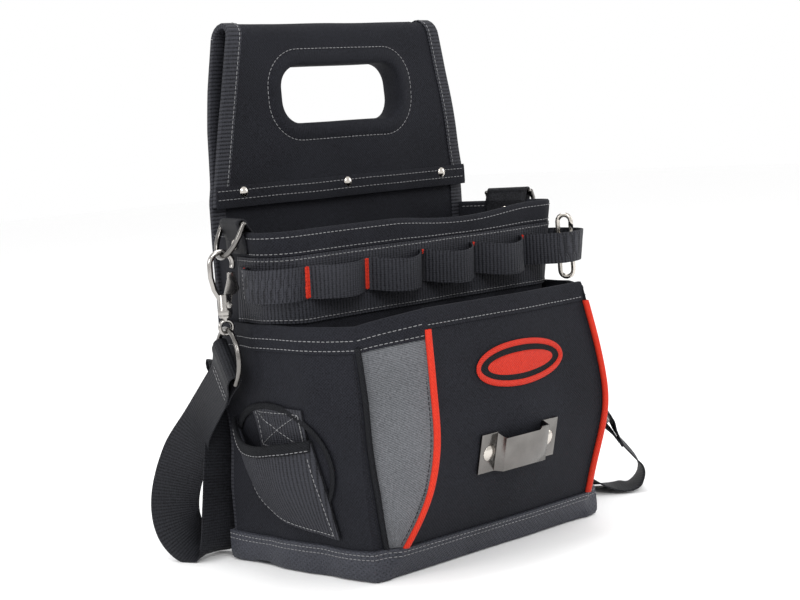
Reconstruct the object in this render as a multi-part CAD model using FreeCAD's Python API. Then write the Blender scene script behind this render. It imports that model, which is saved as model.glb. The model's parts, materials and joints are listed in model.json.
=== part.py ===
"""Electrician's tool pouch: a stiff back panel with a cut-out carrying handle, an upper tool
compartment with a band of webbing tool loops, a bulging lower front pocket with contrasting
gussets and piping, a side sleeve pocket, a tape clip, and a shoulder strap on trigger snaps.

Frame: origin at the middle of the base's underside, +Z up, the front faces -Y, and +X is on
the right of someone who looks at the front. Millimetres. Places are mostly given as (x, d, z),
where d is the distance forward of the back panel's rear face.
"""
import FreeCAD, Part
import math
import os

# ---- Driving dimensions ----
HEIGHT = 416.0              # overall, to the top of the handle fold
PANEL_HALF = 134.0          # half width of the back panel below the handle
PANEL_TOP_HALF = 109.0      # half width at the handle's top
TAPER_Z = 280.0             # the panel narrows above this height
BACK_Y = 74.0               # Y of the back panel's rear face
PLY = 2.6                   # stiffened fabric ply
FABRIC = 2.2                # pocket wall
SKIN = 1.0                  # hems, bindings and tapes
GAP = 0.15                  # air between sewn layers
BINDING = 0.9               # edge binding thickness
BINDING_WIDTH = 12.0

WALL_BOTTOM = 5.4           # the walls stand on the base board
WALL_D = 3.8                # the walls start this far in front of the panel's rear face
UPPER_RIM = 257.0
LOWER_RIM = 189.0           # rim of the side pockets
FRONT_RIM = 197.0           # rim of the front pocket
BOOT_HEIGHT = 24.0
BOOT_SKIN = 2.0

SLOT_WIDTH = 126.0          # hand slot
SLOT_HEIGHT = 46.0
SLOT_Z = 359.0
SLOT_RADIUS = 18.0
LINING = 2.0

RIVET_Z = 286.5
RIVET_SPACING = 107.0
RIVET_HEAD = 4.6
RIVET_SHANK = 2.0

BAND_BOTTOM = 190.5         # wide backing band of the tool loops
BAND_HEIGHT = 50.0
BAND = 1.5
BAND_GAP = 0.6
LOOP_BOTTOM = 208.0         # narrow webbing that makes the tool loops
LOOP_HEIGHT = 25.0
LOOP_PITCH = 57.0
LOOP_BULGE = 12.0
LAST_LOOP_BULGE = 28.0      # the loop that the key clip sits in
WEBBING = 1.6

RING_WIRE = 2.0             # radius of the ring wire
RING_HALF = 21.3            # half width of a 38 mm D-ring at its wire's centre
RING_DROP = 27.0            # from the bar to the lowest point of the wire's centre
TAB_WIDTH = 38.0
STRAP_WIDTH = 38.0
STRAP_THICK = 2.4
FOLD_GAP = 2.8              # air inside the strap's fold, about the ring's wire

Z_AXIS = FreeCAD.Vector(0, 0, 1)


# ---- Helpers ----
def at(x, d, z):
    """A point from its place across, forward of the panel's rear face, and up."""
    return FreeCAD.Vector(x, BACK_Y - d, z)


def mix(low, high, part):
    return low + (high - low) * part


def save(name, *shapes):
    """Write one node: one solid, or several separate ones as a group."""
    shape = shapes[0] if len(shapes) == 1 else Part.makeCompound(list(shapes))
    volume = sum(solid.Volume for solid in shape.Solids)
    print(f"{name:24s} solids {len(shape.Solids)} volume {volume:10.0f} valid {shape.isValid()}")
    shape.exportStep(f"parts/{name}.step")


def one_solid(shape):
    """The biggest solid of a result, as a plain solid."""
    return max(shape.Solids, key=lambda solid: solid.Volume)


def offset_path(path, distance):
    """An open plan path moved towards the inside of the bag; negative moves it outward."""
    moved = []
    for i, (x, d) in enumerate(path):
        before = path[max(i - 1, 0)]
        after = path[min(i + 1, len(path) - 1)]
        normals = []
        for (x0, d0), (x1, d1) in ((before, (x, d)), ((x, d), after)):
            length = math.hypot(x1 - x0, d1 - d0)
            if length > 0:
                normals.append(((d1 - d0) / length, -(x1 - x0) / length))
        nx = sum(n[0] for n in normals) / len(normals)
        nd = sum(n[1] for n in normals) / len(normals)
        grow = distance / (nx * nx + nd * nd)
        moved.append((x + nx * grow, d + nd * grow))
    return moved


def closed_wire(points):
    return Part.makePolygon(list(points) + [points[0]])


def loft(sections):
    """A closed solid through polygons with equal point counts, with straight rules between."""
    return one_solid(Part.makeLoft([closed_wire(points) for points in sections], True, True))


def faceted(sections):
    """A closed solid through polygons with equal point counts, with flat triangles between."""
    faces = [Part.Face(closed_wire(sections[0])), Part.Face(closed_wire(sections[-1]))]
    for near, far in zip(sections, sections[1:]):
        for k in range(len(near)):
            a, b = near[k - 1], near[k]
            c, d = far[k], far[k - 1]
            faces.append(Part.Face(closed_wire([a, b, c])))
            faces.append(Part.Face(closed_wire([a, c, d])))
    shell = Part.makeShell(faces)
    shell.sewShape()
    solid = Part.makeSolid(shell)
    if solid.Volume < 0:
        solid.reverse()
    return solid


def wall(outline, levels, outer, inner, first=0, last=None):
    """A sheet that follows a plan outline at each level, between two offsets from it."""
    sections = []
    for z in levels:
        path = outline(z)
        stop = len(path) if last is None else last + 1
        outside = offset_path(path, outer)[first:stop]
        inside = offset_path(path, inner)[first:stop]
        sections.append([at(x, d, z) for x, d in outside + inside[::-1]])
    return loft(sections)


def prism_xz(points, d_low, d_high):
    """A plate with its outline in the XZ plane."""
    face = Part.Face(closed_wire([at(x, d_low, z) for x, z in points]))
    return face.extrude(at(0, d_high, 0) - at(0, d_low, 0))


def round_slot(half_width, half_height, radius, z_mid, d_low, d_high):
    """A rounded rectangle through the handle, from one depth to another."""
    box = Part.makeBox(
        2 * half_width, d_high - d_low, 2 * half_height,
        FreeCAD.Vector(-half_width, BACK_Y - d_high, z_mid - half_height),
    )
    upright = [edge for edge in box.Edges if abs(edge.tangentAt(edge.FirstParameter).y) > 0.99]
    return box.makeFillet(radius, upright)


def rod(start, end, radius):
    return Part.makeCylinder(radius, (end - start).Length, start, end - start)


def tube(points, radius, sides=10):
    """A round bar along a path of points, with mitred joints."""
    sections = []
    side = None
    for i, point in enumerate(points):
        along = points[min(i + 1, len(points) - 1)] - points[max(i - 1, 0)]
        along.normalize()
        if side is None:
            side = along.cross(Z_AXIS if abs(along.z) < 0.9 else FreeCAD.Vector(0, 1, 0))
        side = side - along * side.dot(along)
        side.normalize()
        other = along.cross(side)
        turns = [2 * math.pi * k / sides for k in range(sides)]
        sections.append(
            [point + side * (radius * math.cos(a)) + other * (radius * math.sin(a)) for a in turns]
        )
    return loft(sections)


def arc_points(centre, start, end, radius, count):
    """Points on an arc in a plane, as (u, v) pairs; angles in degrees."""
    angles = [math.radians(mix(start, end, k / (count - 1))) for k in range(count)]
    return [(centre[0] + radius * math.cos(a), centre[1] + radius * math.sin(a)) for a in angles]


def extruded_along_x(points, half_width):
    """A solid from an outline in (d, z), centred on x = 0 and running along X."""
    face = Part.Face(closed_wire([at(-half_width, d, z) for d, z in points]))
    return face.extrude(FreeCAD.Vector(2 * half_width, 0, 0))


# ---- Plan outlines, left back corner first ----
CORNER_POINTS = 11          # points on each round corner of the upper compartment


def upper_outline(z):
    """The upper compartment: the side walls spread upward and the front corners are round."""
    part = (z - WALL_BOTTOM) / (UPPER_RIM - WALL_BOTTOM)
    half_back = mix(128.0, 133.0, part)
    half_side = mix(118.0, 154.0, part)
    depth = mix(90.0, 100.0, part)
    radius = 24.0
    left = arc_points((-half_side + radius, depth - radius), 180, 90, radius, CORNER_POINTS)
    right = [(-x, d) for x, d in left[::-1]]
    return [(-half_back, WALL_D)] + left + right + [(half_back, WALL_D)]


def lower_outline(z):
    """The lower pockets: side wall, corner, seam, gusset, piping and the bulging front.

    The right gusset is folded in more than the left one at the rim.
    """
    part = min(max((z - WALL_BOTTOM) / (LOWER_RIM - WALL_BOTTOM), 0.0), 1.0)
    side_far = (mix(126.0, 149.0, part), 110.0)
    side_near = (mix(131.5, 150.0, part), 60.0)
    low = min(part / 0.3, 1.0)
    high = max((part - 0.58) / 0.42, 0.0)
    belly = math.sin(0.5 * math.pi * min(part / 0.58, 1.0)) - 0.26 * high
    piping = (mix(106.0, 92.0, low) - 8.0 * high, 147.5 + 43.5 * belly)
    crown = 4.0 * math.sin(0.5 * math.pi * min(part / 0.58, 1.0))
    left, right = [
        [(135.5, WALL_D), side_near, side_far, (mix(120.0, top, part), mix(146.5, 149.5, part)),
         (mix(109.0, top - 1.5, part), mix(149.0, 152.5, part)), piping]
        for top in (131.0, 117.0)
    ]
    return [(-x, d) for x, d in left] + [(0.0, piping[1] + crown)] + right[::-1]


LEFT_CORNER, LEFT_SEAM, LEFT_PIPING, RIGHT_PIPING, RIGHT_SEAM = 3, 4, 5, 7, 8
LAST = 12
LOWER_LEVELS = [WALL_BOTTOM, 12.0, 24.0, 40.0, 60.0, 112.0, LOWER_RIM]


def levels_between(low, high):
    """The lower pocket's levels inside a range, with the range's ends."""
    return [low] + [z for z in LOWER_LEVELS if low < z < high] + [high]


# ---- Back panel and handle ----
def panel_half_at(z):
    part = max((z - TAPER_Z) / (HEIGHT - TAPER_Z), 0.0)
    return mix(PANEL_HALF, PANEL_TOP_HALF, part)


def panel_plate(grow=0.0):
    """The tapered outline of the panel as a thick plate, to cut plies with."""
    right = [(panel_half_at(z) + grow, z) for z in (0.0, TAPER_Z, HEIGHT + 5.0)]
    left = [(-x, z) for x, z in right[::-1]]
    return prism_xz(right + left, -40.0, 40.0)


def edge_band(side):
    """The strip of the outline that an edge binding covers, on one side (-1 or 1)."""
    points = []
    for z in (0.0, TAPER_Z, HEIGHT + 5.0):
        points.append((side * (panel_half_at(z) + BINDING), z))
    for z in (HEIGHT + 5.0, TAPER_Z, 0.0):
        points.append((side * (panel_half_at(z) - BINDING_WIDTH), z))
    return prism_xz(points, -40.0, 40.0)


FOLD_RADIUS = 11.0
FOLD_CENTRE_D = -1.0
FOLD_Z = HEIGHT - FOLD_RADIUS
BEND_Z = 292.0              # the rear ply leans back above this
FRONT_PLY_D = 4.8           # rear face of the front ply where it is riveted to the panel
HEM_BOTTOM = 276.0
HEM_TOP = 293.5


def back_profile(grow=0.0):
    """The rear ply's section: flat up to the taper, then bellied backward in the handle."""
    top = FOLD_CENTRE_D - FOLD_RADIUS
    rear = [(0.0, WALL_BOTTOM), (0.0, BEND_Z), (-7.0, 334.0), (top, FOLD_Z)]
    points = [(d - grow, z) for d, z in rear]
    points += [(d + PLY + grow, z) for d, z in rear[::-1]]
    return points


def handle_profile(grow=0.0):
    """The front ply's section: up from the hem and over the top in a round fold."""
    outer = FOLD_RADIUS + grow
    inner = FOLD_RADIUS - PLY - grow
    centre = (FOLD_CENTRE_D, FOLD_Z)
    front = FRONT_PLY_D + PLY
    points = [(front + grow, HEM_BOTTOM), (front + grow, HEM_TOP), (9.6 + grow, 335.0)]
    points += arc_points(centre, 0, 178, outer, 13)
    points += arc_points(centre, 178, 0, inner, 13)
    points += [(9.6 - PLY - grow, 335.0), (FRONT_PLY_D - grow, HEM_TOP), (FRONT_PLY_D - grow, HEM_BOTTOM)]
    return points


def rivet_places():
    return [(-RIVET_SPACING, RIVET_Z), (0.0, RIVET_Z), (RIVET_SPACING, RIVET_Z)]


def rivet_holes(shape):
    for x, z in rivet_places():
        shape = shape.cut(rod(at(x, -20, z), at(x, 30, z), RIVET_SHANK + 0.1))
    return one_solid(shape)


def slot_cut():
    return round_slot(
        SLOT_WIDTH / 2 + LINING, SLOT_HEIGHT / 2 + LINING, SLOT_RADIUS + LINING, SLOT_Z, -40, 40
    )


def make_panel_and_handle():
    half = PANEL_HALF + 20
    rear = extruded_along_x(back_profile(), half).common(panel_plate()).cut(slot_cut())
    rear = rivet_holes(rear)
    front = extruded_along_x(handle_profile(), half).common(panel_plate()).cut(slot_cut())
    front = rivet_holes(front)
    save("back_panel", rear)
    save("handle_front_ply", front)
    envelope_front = handle_profile()[:3] + arc_points((FOLD_CENTRE_D, FOLD_Z), 0, 90, FOLD_RADIUS, 7)
    envelope_rear = [point for point in back_profile()[3:0:-1]]
    envelope = extruded_along_x(envelope_front + envelope_rear, half)
    hole = round_slot(SLOT_WIDTH / 2, SLOT_HEIGHT / 2, SLOT_RADIUS, SLOT_Z, -50, 50)
    lining = slot_cut().common(envelope).cut(hole)
    save("hand_slot_lining", one_solid(lining))
    for side, word in ((-1, "left"), (1, "right")):
        band = edge_band(side)
        rear_edge = extruded_along_x(back_profile(BINDING), half).common(band).cut(rear)
        save(f"panel_binding_{word}", one_solid(rear_edge))
        front_edge = extruded_along_x(handle_profile(BINDING), half).common(band).cut(front)
        front_edge = front_edge.cut(rear_edge)
        save(f"handle_binding_{word}", one_solid(front_edge))


def make_handle_hem():
    hem_d = FRONT_PLY_D + PLY + GAP
    half = PANEL_HALF - BINDING_WIDTH - 4.0
    hem = prism_xz(
        [(-half, HEM_BOTTOM), (half, HEM_BOTTOM), (half, HEM_TOP - 2), (-half, HEM_TOP - 2)],
        hem_d, hem_d + SKIN,
    )
    save("handle_hem", rivet_holes(hem))
    rivets = [dome_rivet(at(x, hem_d + SKIN, z), at(x, 0, z)) for x, z in rivet_places()]
    save("handle_rivets", *rivets)


def dome_rivet(front, rear, head=RIVET_HEAD):
    """A rivet with a domed cap outside and a flat burr inside; the points lie on the faces."""
    out = front - rear
    out.normalize()
    rise = 2.2
    sphere_radius = (head * head + rise * rise) / (2 * rise)
    base = front + out * 0.05
    ball = Part.makeSphere(sphere_radius, base + out * (rise - sphere_radius))
    dome = ball.common(Part.makeCylinder(head + 1, rise + 1, base, out))
    shank = rod(rear - out * 0.6, base + out * 0.5, RIVET_SHANK)
    burr = rod(rear - out * 1.25, rear - out * 0.05, head)
    return one_solid(dome.fuse(shank).fuse(burr))


# ---- Base ----
def base_section(offset, rear_d, z):
    path = offset_path(lower_outline(z), offset)
    path = [(-abs(path[0][0]), rear_d)] + path + [(abs(path[0][0]), rear_d)]
    return [at(x, d, z) for x, d in path]


def make_base():
    outer_levels = [0.0, 12.0, BOOT_HEIGHT]
    outer = loft([base_section(-BOOT_SKIN - 0.4, -3.5, z) for z in outer_levels])
    inner = loft([base_section(-0.4, -1.5, z) for z in (BOOT_SKIN, 12.0, BOOT_HEIGHT, 30.0)])
    save("base_boot", one_solid(outer.cut(inner)))
    board = [base_section(0.0, -1.0, z) for z in (BOOT_SKIN + 0.2, WALL_BOTTOM - 0.2)]
    save("base_board", loft(board))


# ---- Upper compartment ----
UPPER_LEFT = 1              # outline index where the left front corner starts
UPPER_RIGHT = 2 * CORNER_POINTS
UPPER_LAST = 2 * CORNER_POINTS + 1


def make_upper_compartment(tab_holes):
    spans = (("left", 0, UPPER_LEFT), ("front", UPPER_LEFT, UPPER_RIGHT), ("right", UPPER_RIGHT, UPPER_LAST))
    levels = [WALL_BOTTOM, 130.0, UPPER_RIM]
    for word, first, last in spans:
        shape = wall(upper_outline, levels, 0.0, FABRIC, first, last)
        for hole in tab_holes:
            shape = one_solid(shape.cut(hole))
        save(f"upper_wall_{word}", shape)
    low = UPPER_RIM - 16.0
    outside = wall(upper_outline, [low, UPPER_RIM + GAP], -GAP - SKIN, -GAP)
    inside = wall(upper_outline, [low, UPPER_RIM + GAP], FABRIC + GAP, FABRIC + GAP + SKIN)
    cap = wall(upper_outline, [UPPER_RIM + GAP, UPPER_RIM + GAP + SKIN], -GAP - SKIN, FABRIC + GAP + SKIN)
    hem = outside.fuse(inside).fuse(cap)
    for hole in tab_holes:
        hem = hem.cut(hole)
    save("upper_rim_hem", one_solid(hem))


def walk_outline(z, distance):
    """The point and outward direction at an arc length from the front's middle, along the outline."""
    path = upper_outline(z)
    steps = [math.hypot(b[0] - a[0], b[1] - a[1]) for a, b in zip(path, path[1:])]
    left = sum(steps) / 2 + distance
    for (a, b), step in zip(zip(path, path[1:]), steps):
        if left <= step or b == path[-1]:
            part = left / step
            along = ((b[0] - a[0]) / step, (b[1] - a[1]) / step)
            return (mix(a[0], b[0], part), mix(a[1], b[1], part)), (-along[1], along[0])
        left -= step


BAND_ENDS = (-196.0, 196.0)
FRONT_TACKS = [-126.0 + LOOP_PITCH * i for i in range(5)]
LOOP_ENDS = (-178.0, 176.0)
TACKS = [LOOP_ENDS[0]] + FRONT_TACKS + [LOOP_ENDS[1]]


def strip_on_wall(stations, offsets, low, high, thickness):
    """A strip along the outline, at its own distance from the wall at each station."""
    sections = []
    for z in (low, high):
        outer, inner = [], []
        for station, offset in zip(stations, offsets):
            (x, d), (nx, nd) = walk_outline(z, station)
            inner.append(at(x + nx * offset, d + nd * offset, z))
            outer.append(at(x + nx * (offset + thickness), d + nd * (offset + thickness), z))
        sections.append(outer + inner[::-1])
    return loft(sections)


def make_tool_loops():
    steps = 80
    band_stations = [mix(*BAND_ENDS, k / steps) for k in range(steps + 1)]
    band = strip_on_wall(
        band_stations, [BAND_GAP] * len(band_stations), BAND_BOTTOM, BAND_BOTTOM + BAND_HEIGHT, BAND
    )
    save("loop_backing_band", band)
    flat = BAND_GAP + BAND + 0.3
    stations, offsets = [TACKS[0] - 12.0], [flat]
    for start, end in zip(TACKS, TACKS[1:]):
        bulge = LAST_LOOP_BULGE if end == TACKS[-1] else LOOP_BULGE
        for k in (0.0, 0.4, 1, 2, 3, 4, 5, 6, 7, 8, 9, 9.6):
            part = k / 10
            rise = math.sin(math.pi * min(max((part - 0.04) / 0.92, 0.0), 1.0)) ** 0.8
            stations.append(mix(start, end, part))
            offsets.append(flat + bulge * rise)
    stations += [TACKS[-1], TACKS[-1] + 12.0]
    offsets += [flat, flat]
    loops = strip_on_wall(stations, offsets, LOOP_BOTTOM, LOOP_BOTTOM + LOOP_HEIGHT, WEBBING)
    save("tool_loop_webbing", loops)
    over = flat + WEBBING + 0.1
    tacks = []
    for station in TACKS:
        tack = strip_on_wall(
            [station - 1.2, station + 1.2], [over, over], LOOP_BOTTOM + 0.5,
            LOOP_BOTTOM + LOOP_HEIGHT - 0.5, 0.8,
        )
        tacks.append(tack)
    save("bar_tacks", *tacks)


# ---- Lower pockets ----
def make_lower_pockets(front_holes):
    parts = (
        ("left_side_pocket", 0, LEFT_SEAM),
        ("left_gusset", LEFT_SEAM, LEFT_PIPING),
        ("front_pocket_panel", LEFT_PIPING, RIGHT_PIPING),
        ("right_gusset", RIGHT_PIPING, RIGHT_SEAM),
        ("right_side_pocket", RIGHT_SEAM, LAST),
    )
    for word, first, last in parts:
        front = word == "front_pocket_panel"
        levels = LOWER_LEVELS + [FRONT_RIM] if front else LOWER_LEVELS
        shape = wall(lower_outline, levels, 0.0, FABRIC, first, last)
        for hole in front_holes if front else []:
            shape = one_solid(shape.cut(hole))
        save(word, shape)
    hems = (("left_side_hem", LOWER_RIM, 0, LEFT_PIPING), ("right_side_hem", LOWER_RIM, RIGHT_PIPING, LAST),
            ("front_pocket_hem", FRONT_RIM, LEFT_PIPING, RIGHT_PIPING))
    for word, rim, first, last in hems:
        hem = wall(lower_outline, [rim - 13.0, rim], -GAP - SKIN, -GAP, first, last)
        save(word, hem)
    seams = (
        ("left_piping", LEFT_PIPING, 1.7), ("right_piping", RIGHT_PIPING, 1.7),
        ("left_corner_seam", LEFT_SEAM, 2.0), ("right_corner_seam", RIGHT_SEAM, 2.0),
    )
    for word, index, radius in seams:
        line = []
        for z in levels_between(BOOT_HEIGHT + 3.0, LOWER_RIM - 15.5):
            x, d = offset_path(lower_outline(z), -1.2 * radius - 0.15)[index]
            line.append(at(x, d, z))
        save(word, tube(line, radius))


def make_inner_divider():
    """A stiffened sheet that splits the upper compartment into a front and a rear bay."""
    depth = 46.0
    low = [(-108.0, 40.0), (108.0, 40.0)]
    high = [(-126.0, depth), (126.0, depth)]
    sections = []
    for z, ends in ((WALL_BOTTOM, low), (225.0, high)):
        (x0, d0), (x1, d1) = ends
        corners = [(x0, d0), (x1, d1), (x1, d1 + FABRIC), (x0, d0 + FABRIC)]
        sections.append([at(x, d, z) for x, d in corners])
    save("inner_divider", loft(sections))


# ---- Side sleeve pocket on the left wall ----
def left_wall_x(d, z):
    """The outer face of the left side pocket at a depth and height."""
    path = lower_outline(z)[:LEFT_CORNER + 1]
    for (x0, d0), (x1, d1) in zip(path, path[1:]):
        if d <= d1:
            return mix(x0, x1, (d - d0) / (d1 - d0))
    return path[-1][0]


SLEEVE_BACK = 16.0
SLEEVE_FRONT = 122.0        # at the foot; the front edge leans back as it rises
SLEEVE_LEAN = 0.16


def sleeve_mouth(part):
    """The height of the sleeve's curved mouth: high at the back, low near it, then rising."""
    return 92.0 + 22.0 * math.exp(-part / 0.13) + 12.0 * part


def sleeve_foot(part):
    """The height of the sleeve's lower edge, which sweeps down from the mouth's rear end."""
    return 31.0 + 76.0 * math.exp(-part / 0.27)


def sleeve_depth(part, z):
    return mix(SLEEVE_BACK, SLEEVE_FRONT - SLEEVE_LEAN * (z - 31.0), part)


def sleeve_stand_off(part, row):
    """How far the sleeve stands off the wall: sewn at its edges and its foot, open at its mouth."""
    return 1.4 + 13.0 * math.sin(math.pi * part) ** 0.6 * math.sin(0.5 * math.pi * min(row / 0.8, 1.0))


def make_side_sleeve():
    count = 14
    sections = []
    binding_sections = []
    for k in range(count + 1):
        part = k / count
        rows = []
        for row in (0.0, 0.3, 0.6, 1.0):
            z = mix(sleeve_foot(part), sleeve_mouth(part), row)
            d = sleeve_depth(part, z)
            rows.append((left_wall_x(d, z) - sleeve_stand_off(part, row), d, z))
        outer = [at(x - 1.8, d, z) for x, d, z in rows]
        inner = [at(x, d, z) for x, d, z in rows]
        sections.append(outer + inner[::-1])
        x, d, z = rows[-1]
        reach = min(7.0, z - sleeve_foot(part) - 1.0)
        binding_sections.append([at(x + ox, d, z + oz) for ox, oz in
                                 ((-2.9, -reach), (-2.9, 1.3), (1.0, 1.3),
                                  (1.0, 0.2), (-1.9, 0.2), (-1.9, -reach))])
    save("side_sleeve", loft(sections))
    save("side_sleeve_binding", loft(binding_sections))
    patch = []
    for d in (48.0, 60.0, 82.0, 104.0):
        column = [(left_wall_x(d, z) - 0.35, z) for z in (66.0, 97.0, 128.0)]
        patch.append([at(x - 1.6, d, z) for x, z in column] + [at(x, d, z) for x, z in column[::-1]])
    save("side_webbing_patch", loft(patch))


# ---- Tape clip, emblem ----
def front_face_d(x, z):
    """The outer face of the front pocket panel, which is straight between the wall's levels."""
    above = min(i for i, level in enumerate(LOWER_LEVELS) if level >= z)
    low, high = LOWER_LEVELS[above - 1], LOWER_LEVELS[above]
    found = []
    for level in (low, high):
        path = lower_outline(level)
        side = path[RIGHT_PIPING]
        middle = path[LEFT_PIPING + 1]
        found.append(mix(middle[1], side[1], min(abs(x) / side[0], 1.0)))
    return mix(found[0], found[1], (z - low) / (high - low))


CLIP_X = -8.0
CLIP_Z = 86.0
CLIP_HALF = 41.0
PLATE_HALF = 21.5
CLIP_PLATE_STAND = 8.5
CLIP_RIVET_INSET = 9.5
TAPE_SHEET = 1.6            # thickness of the clip's steel
TAPE_LOW_Z = CLIP_Z - 15.0
TAPE_HIGH_Z = CLIP_Z + 15.0


def tape_clip_seat():
    """The depth of the clip's back at its middle height, and how it leans with the pocket."""
    lean = (front_face_d(CLIP_X, TAPE_HIGH_Z) - front_face_d(CLIP_X, TAPE_LOW_Z)) / 30.0
    places = (CLIP_X - CLIP_HALF, CLIP_X, 0.0, CLIP_X + CLIP_HALF)
    return max(front_face_d(x, CLIP_Z) for x in places) + 0.5, lean


def tape_clip_rivet_ends():
    seat, lean = tape_clip_seat()
    ends = []
    for side in (-1, 1):
        x = CLIP_X + side * (CLIP_HALF - CLIP_RIVET_INSET)
        front = at(x, seat + TAPE_SHEET, CLIP_Z)
        inward = FreeCAD.Vector(0, 1, lean)
        inward.normalize()
        depth = seat + TAPE_SHEET - front_face_d(x, CLIP_Z) + FABRIC + 0.5
        ends.append((front, front + inward * depth))
    return ends


def tape_clip_holes():
    holes = []
    for front, rear in tape_clip_rivet_ends():
        out = (front - rear) * 3
        holes.append(rod(rear - out, front + out, RIVET_SHANK + 0.1))
    return holes


def make_tape_clip():
    seat, lean = tape_clip_seat()
    riser = PLATE_HALF + 1.6
    outer_half, outer_riser = PLATE_HALF + TAPE_SHEET * 0.8, riser + TAPE_SHEET * 0.8
    line = [(-CLIP_HALF, 0.0), (-riser, 0.0), (-PLATE_HALF, CLIP_PLATE_STAND),
            (PLATE_HALF, CLIP_PLATE_STAND), (riser, 0.0), (CLIP_HALF, 0.0)]
    front, face = TAPE_SHEET, CLIP_PLATE_STAND + TAPE_SHEET
    outer = [(-CLIP_HALF, front), (-outer_riser, front), (-outer_half, face),
             (outer_half, face), (outer_riser, front), (CLIP_HALF, front)]
    sections = []
    for z in (TAPE_LOW_Z, TAPE_HIGH_Z):
        back = seat + lean * (z - CLIP_Z)
        sections.append([at(CLIP_X + x, back + d, z) for x, d in outer + line[::-1]])
    clip = loft(sections)
    notch = prism_xz(
        [(CLIP_X - 25.5, TAPE_HIGH_Z + 2), (CLIP_X - 23, TAPE_HIGH_Z - 4.5),
         (CLIP_X + 13, TAPE_HIGH_Z - 4.5), (CLIP_X + 15, TAPE_HIGH_Z - 2),
         (CLIP_X + 23, TAPE_HIGH_Z - 2), (CLIP_X + 25.5, TAPE_HIGH_Z + 2)],
        seat - 10, seat + 30,
    )
    clip = clip.cut(notch)
    for hole in tape_clip_holes():
        clip = clip.cut(hole)
    save("tape_clip", one_solid(clip))
    save("tape_clip_rivets", *[dome_rivet(front, rear, 6.3) for front, rear in tape_clip_rivet_ends()])


def make_emblem():
    """A plain oval woven patch on the front pocket."""
    z_mid = 148.0
    half_width = 46.0
    half_height = 16.0
    thickness = 1.4
    count = 24
    columns = []
    for k in range(count + 1):
        x = -half_width * math.cos(math.pi * k / count)
        reach = max(half_height * math.sin(math.pi * k / count), 1.2)
        column = []
        for z in (z_mid - reach, z_mid + reach):
            column.append((front_face_d(x, z) + 0.3, z))
        columns.append(
            [at(x, d + thickness, z) for d, z in column] + [at(x, d, z) for d, z in column[::-1]]
        )
    save("emblem_patch", loft(columns))


# ---- Rear belt tunnel ----
def make_belt_tunnel():
    """A wide webbing loop on the back, for a work belt."""
    low, high = 205.0, 275.0
    stand = 9.0
    line = [(0.0, high), (0.0, high - 12), (-stand, high - 20),
            (-stand, low + 20), (0.0, low + 12), (0.0, low)]
    outer = [(d - 1.3 - 2.2, z) for d, z in line]
    inner = [(d - 1.3, z) for d, z in line]
    save("belt_tunnel", extruded_along_x(outer + inner[::-1], 62.0))


# ---- Rings, tabs and snaps, built in a local frame ----
# Local x runs along the ring's bar, local y points out of the bag, local z is up.
class Mount:
    """A local frame on the bag: a point and the outward direction in plan."""

    def __init__(self, x, d, z, out_x, out_d):
        self.origin = at(x, d, z)
        length = math.hypot(out_x, out_d)
        self.out = FreeCAD.Vector(out_x / length, -out_d / length, 0)
        self.along = self.out.cross(Z_AXIS)

    def placed(self, shape):
        a, o, p = self.along, self.out, self.origin
        matrix = FreeCAD.Matrix(
            a.x, o.x, 0, p.x,
            a.y, o.y, 0, p.y,
            a.z, o.z, 1, p.z,
            0, 0, 0, 1,
        )
        copy = shape.copy()
        copy.Placement = FreeCAD.Placement(matrix).multiply(copy.Placement)
        return copy

    def point(self, x, y, z):
        return self.origin + self.along * x + self.out * y + FreeCAD.Vector(0, 0, z)


BAR_Y = 3.0                 # the ring's bar in the local frame, above the rim and outside it
BAR_Z = 8.5
TAB_INSIDE = -5.2           # faces of the tab's legs, inside the bag and outside it
TAB_OUTSIDE = 3.1


def tab_shape(wall_low, leans):
    """A folded webbing tab astride the rim, with the ring's bar in its fold.

    leans gives how much the wall moves inward per millimetre down, at the tab's two edges.
    """
    inner_radius = RING_WIRE + 0.4
    outer_radius = inner_radius + WEBBING
    outer = [(BAR_Y + y, BAR_Z + z) for y, z in arc_points((0, 0), 180, 0, outer_radius, 9)]
    inner = [(BAR_Y + y, BAR_Z + z) for y, z in arc_points((0, 0), 0, 180, inner_radius, 9)]
    outline = [(TAB_INSIDE, -24.0), (TAB_INSIDE, 1.6)] + outer
    outline += [(TAB_OUTSIDE, -4.0), (TAB_OUTSIDE, wall_low), (TAB_OUTSIDE - WEBBING, wall_low)]
    outline += [(TAB_OUTSIDE - WEBBING, -3.0)] + inner
    outline += [(TAB_INSIDE + WEBBING, 2.4), (TAB_INSIDE + WEBBING, -24.0)]
    sections = []
    for x, lean in zip((-TAB_WIDTH / 2, TAB_WIDTH / 2), leans):
        sections.append([FreeCAD.Vector(x, y + lean * min(z, 0.0), z) for y, z in outline])
    return loft(sections)


def ring_shape():
    """A D-ring of round wire hanging straight down from its bar, the bar on the local x axis."""
    side = RING_HALF
    shoulder = -(RING_DROP - side)
    curve = arc_points((0, shoulder), 0, -180, side, 17)
    points = [FreeCAD.Vector(x, 0, z) for x, z in curve]
    bow = tube([FreeCAD.Vector(side, 0, 0)] + points + [FreeCAD.Vector(-side, 0, 0)], RING_WIRE)
    bar = rod(FreeCAD.Vector(-side, 0, 0), FreeCAD.Vector(side, 0, 0), RING_WIRE)
    ends = [Part.makeSphere(RING_WIRE * 1.02, FreeCAD.Vector(x, 0, 0)) for x in (-side, side)]
    return one_solid(bow.fuse([bar] + ends))


def turned(shape, axis, degrees, centre=FreeCAD.Vector(0, 0, 0)):
    copy = shape.copy()
    copy.rotate(centre, axis, degrees)
    return copy


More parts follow.
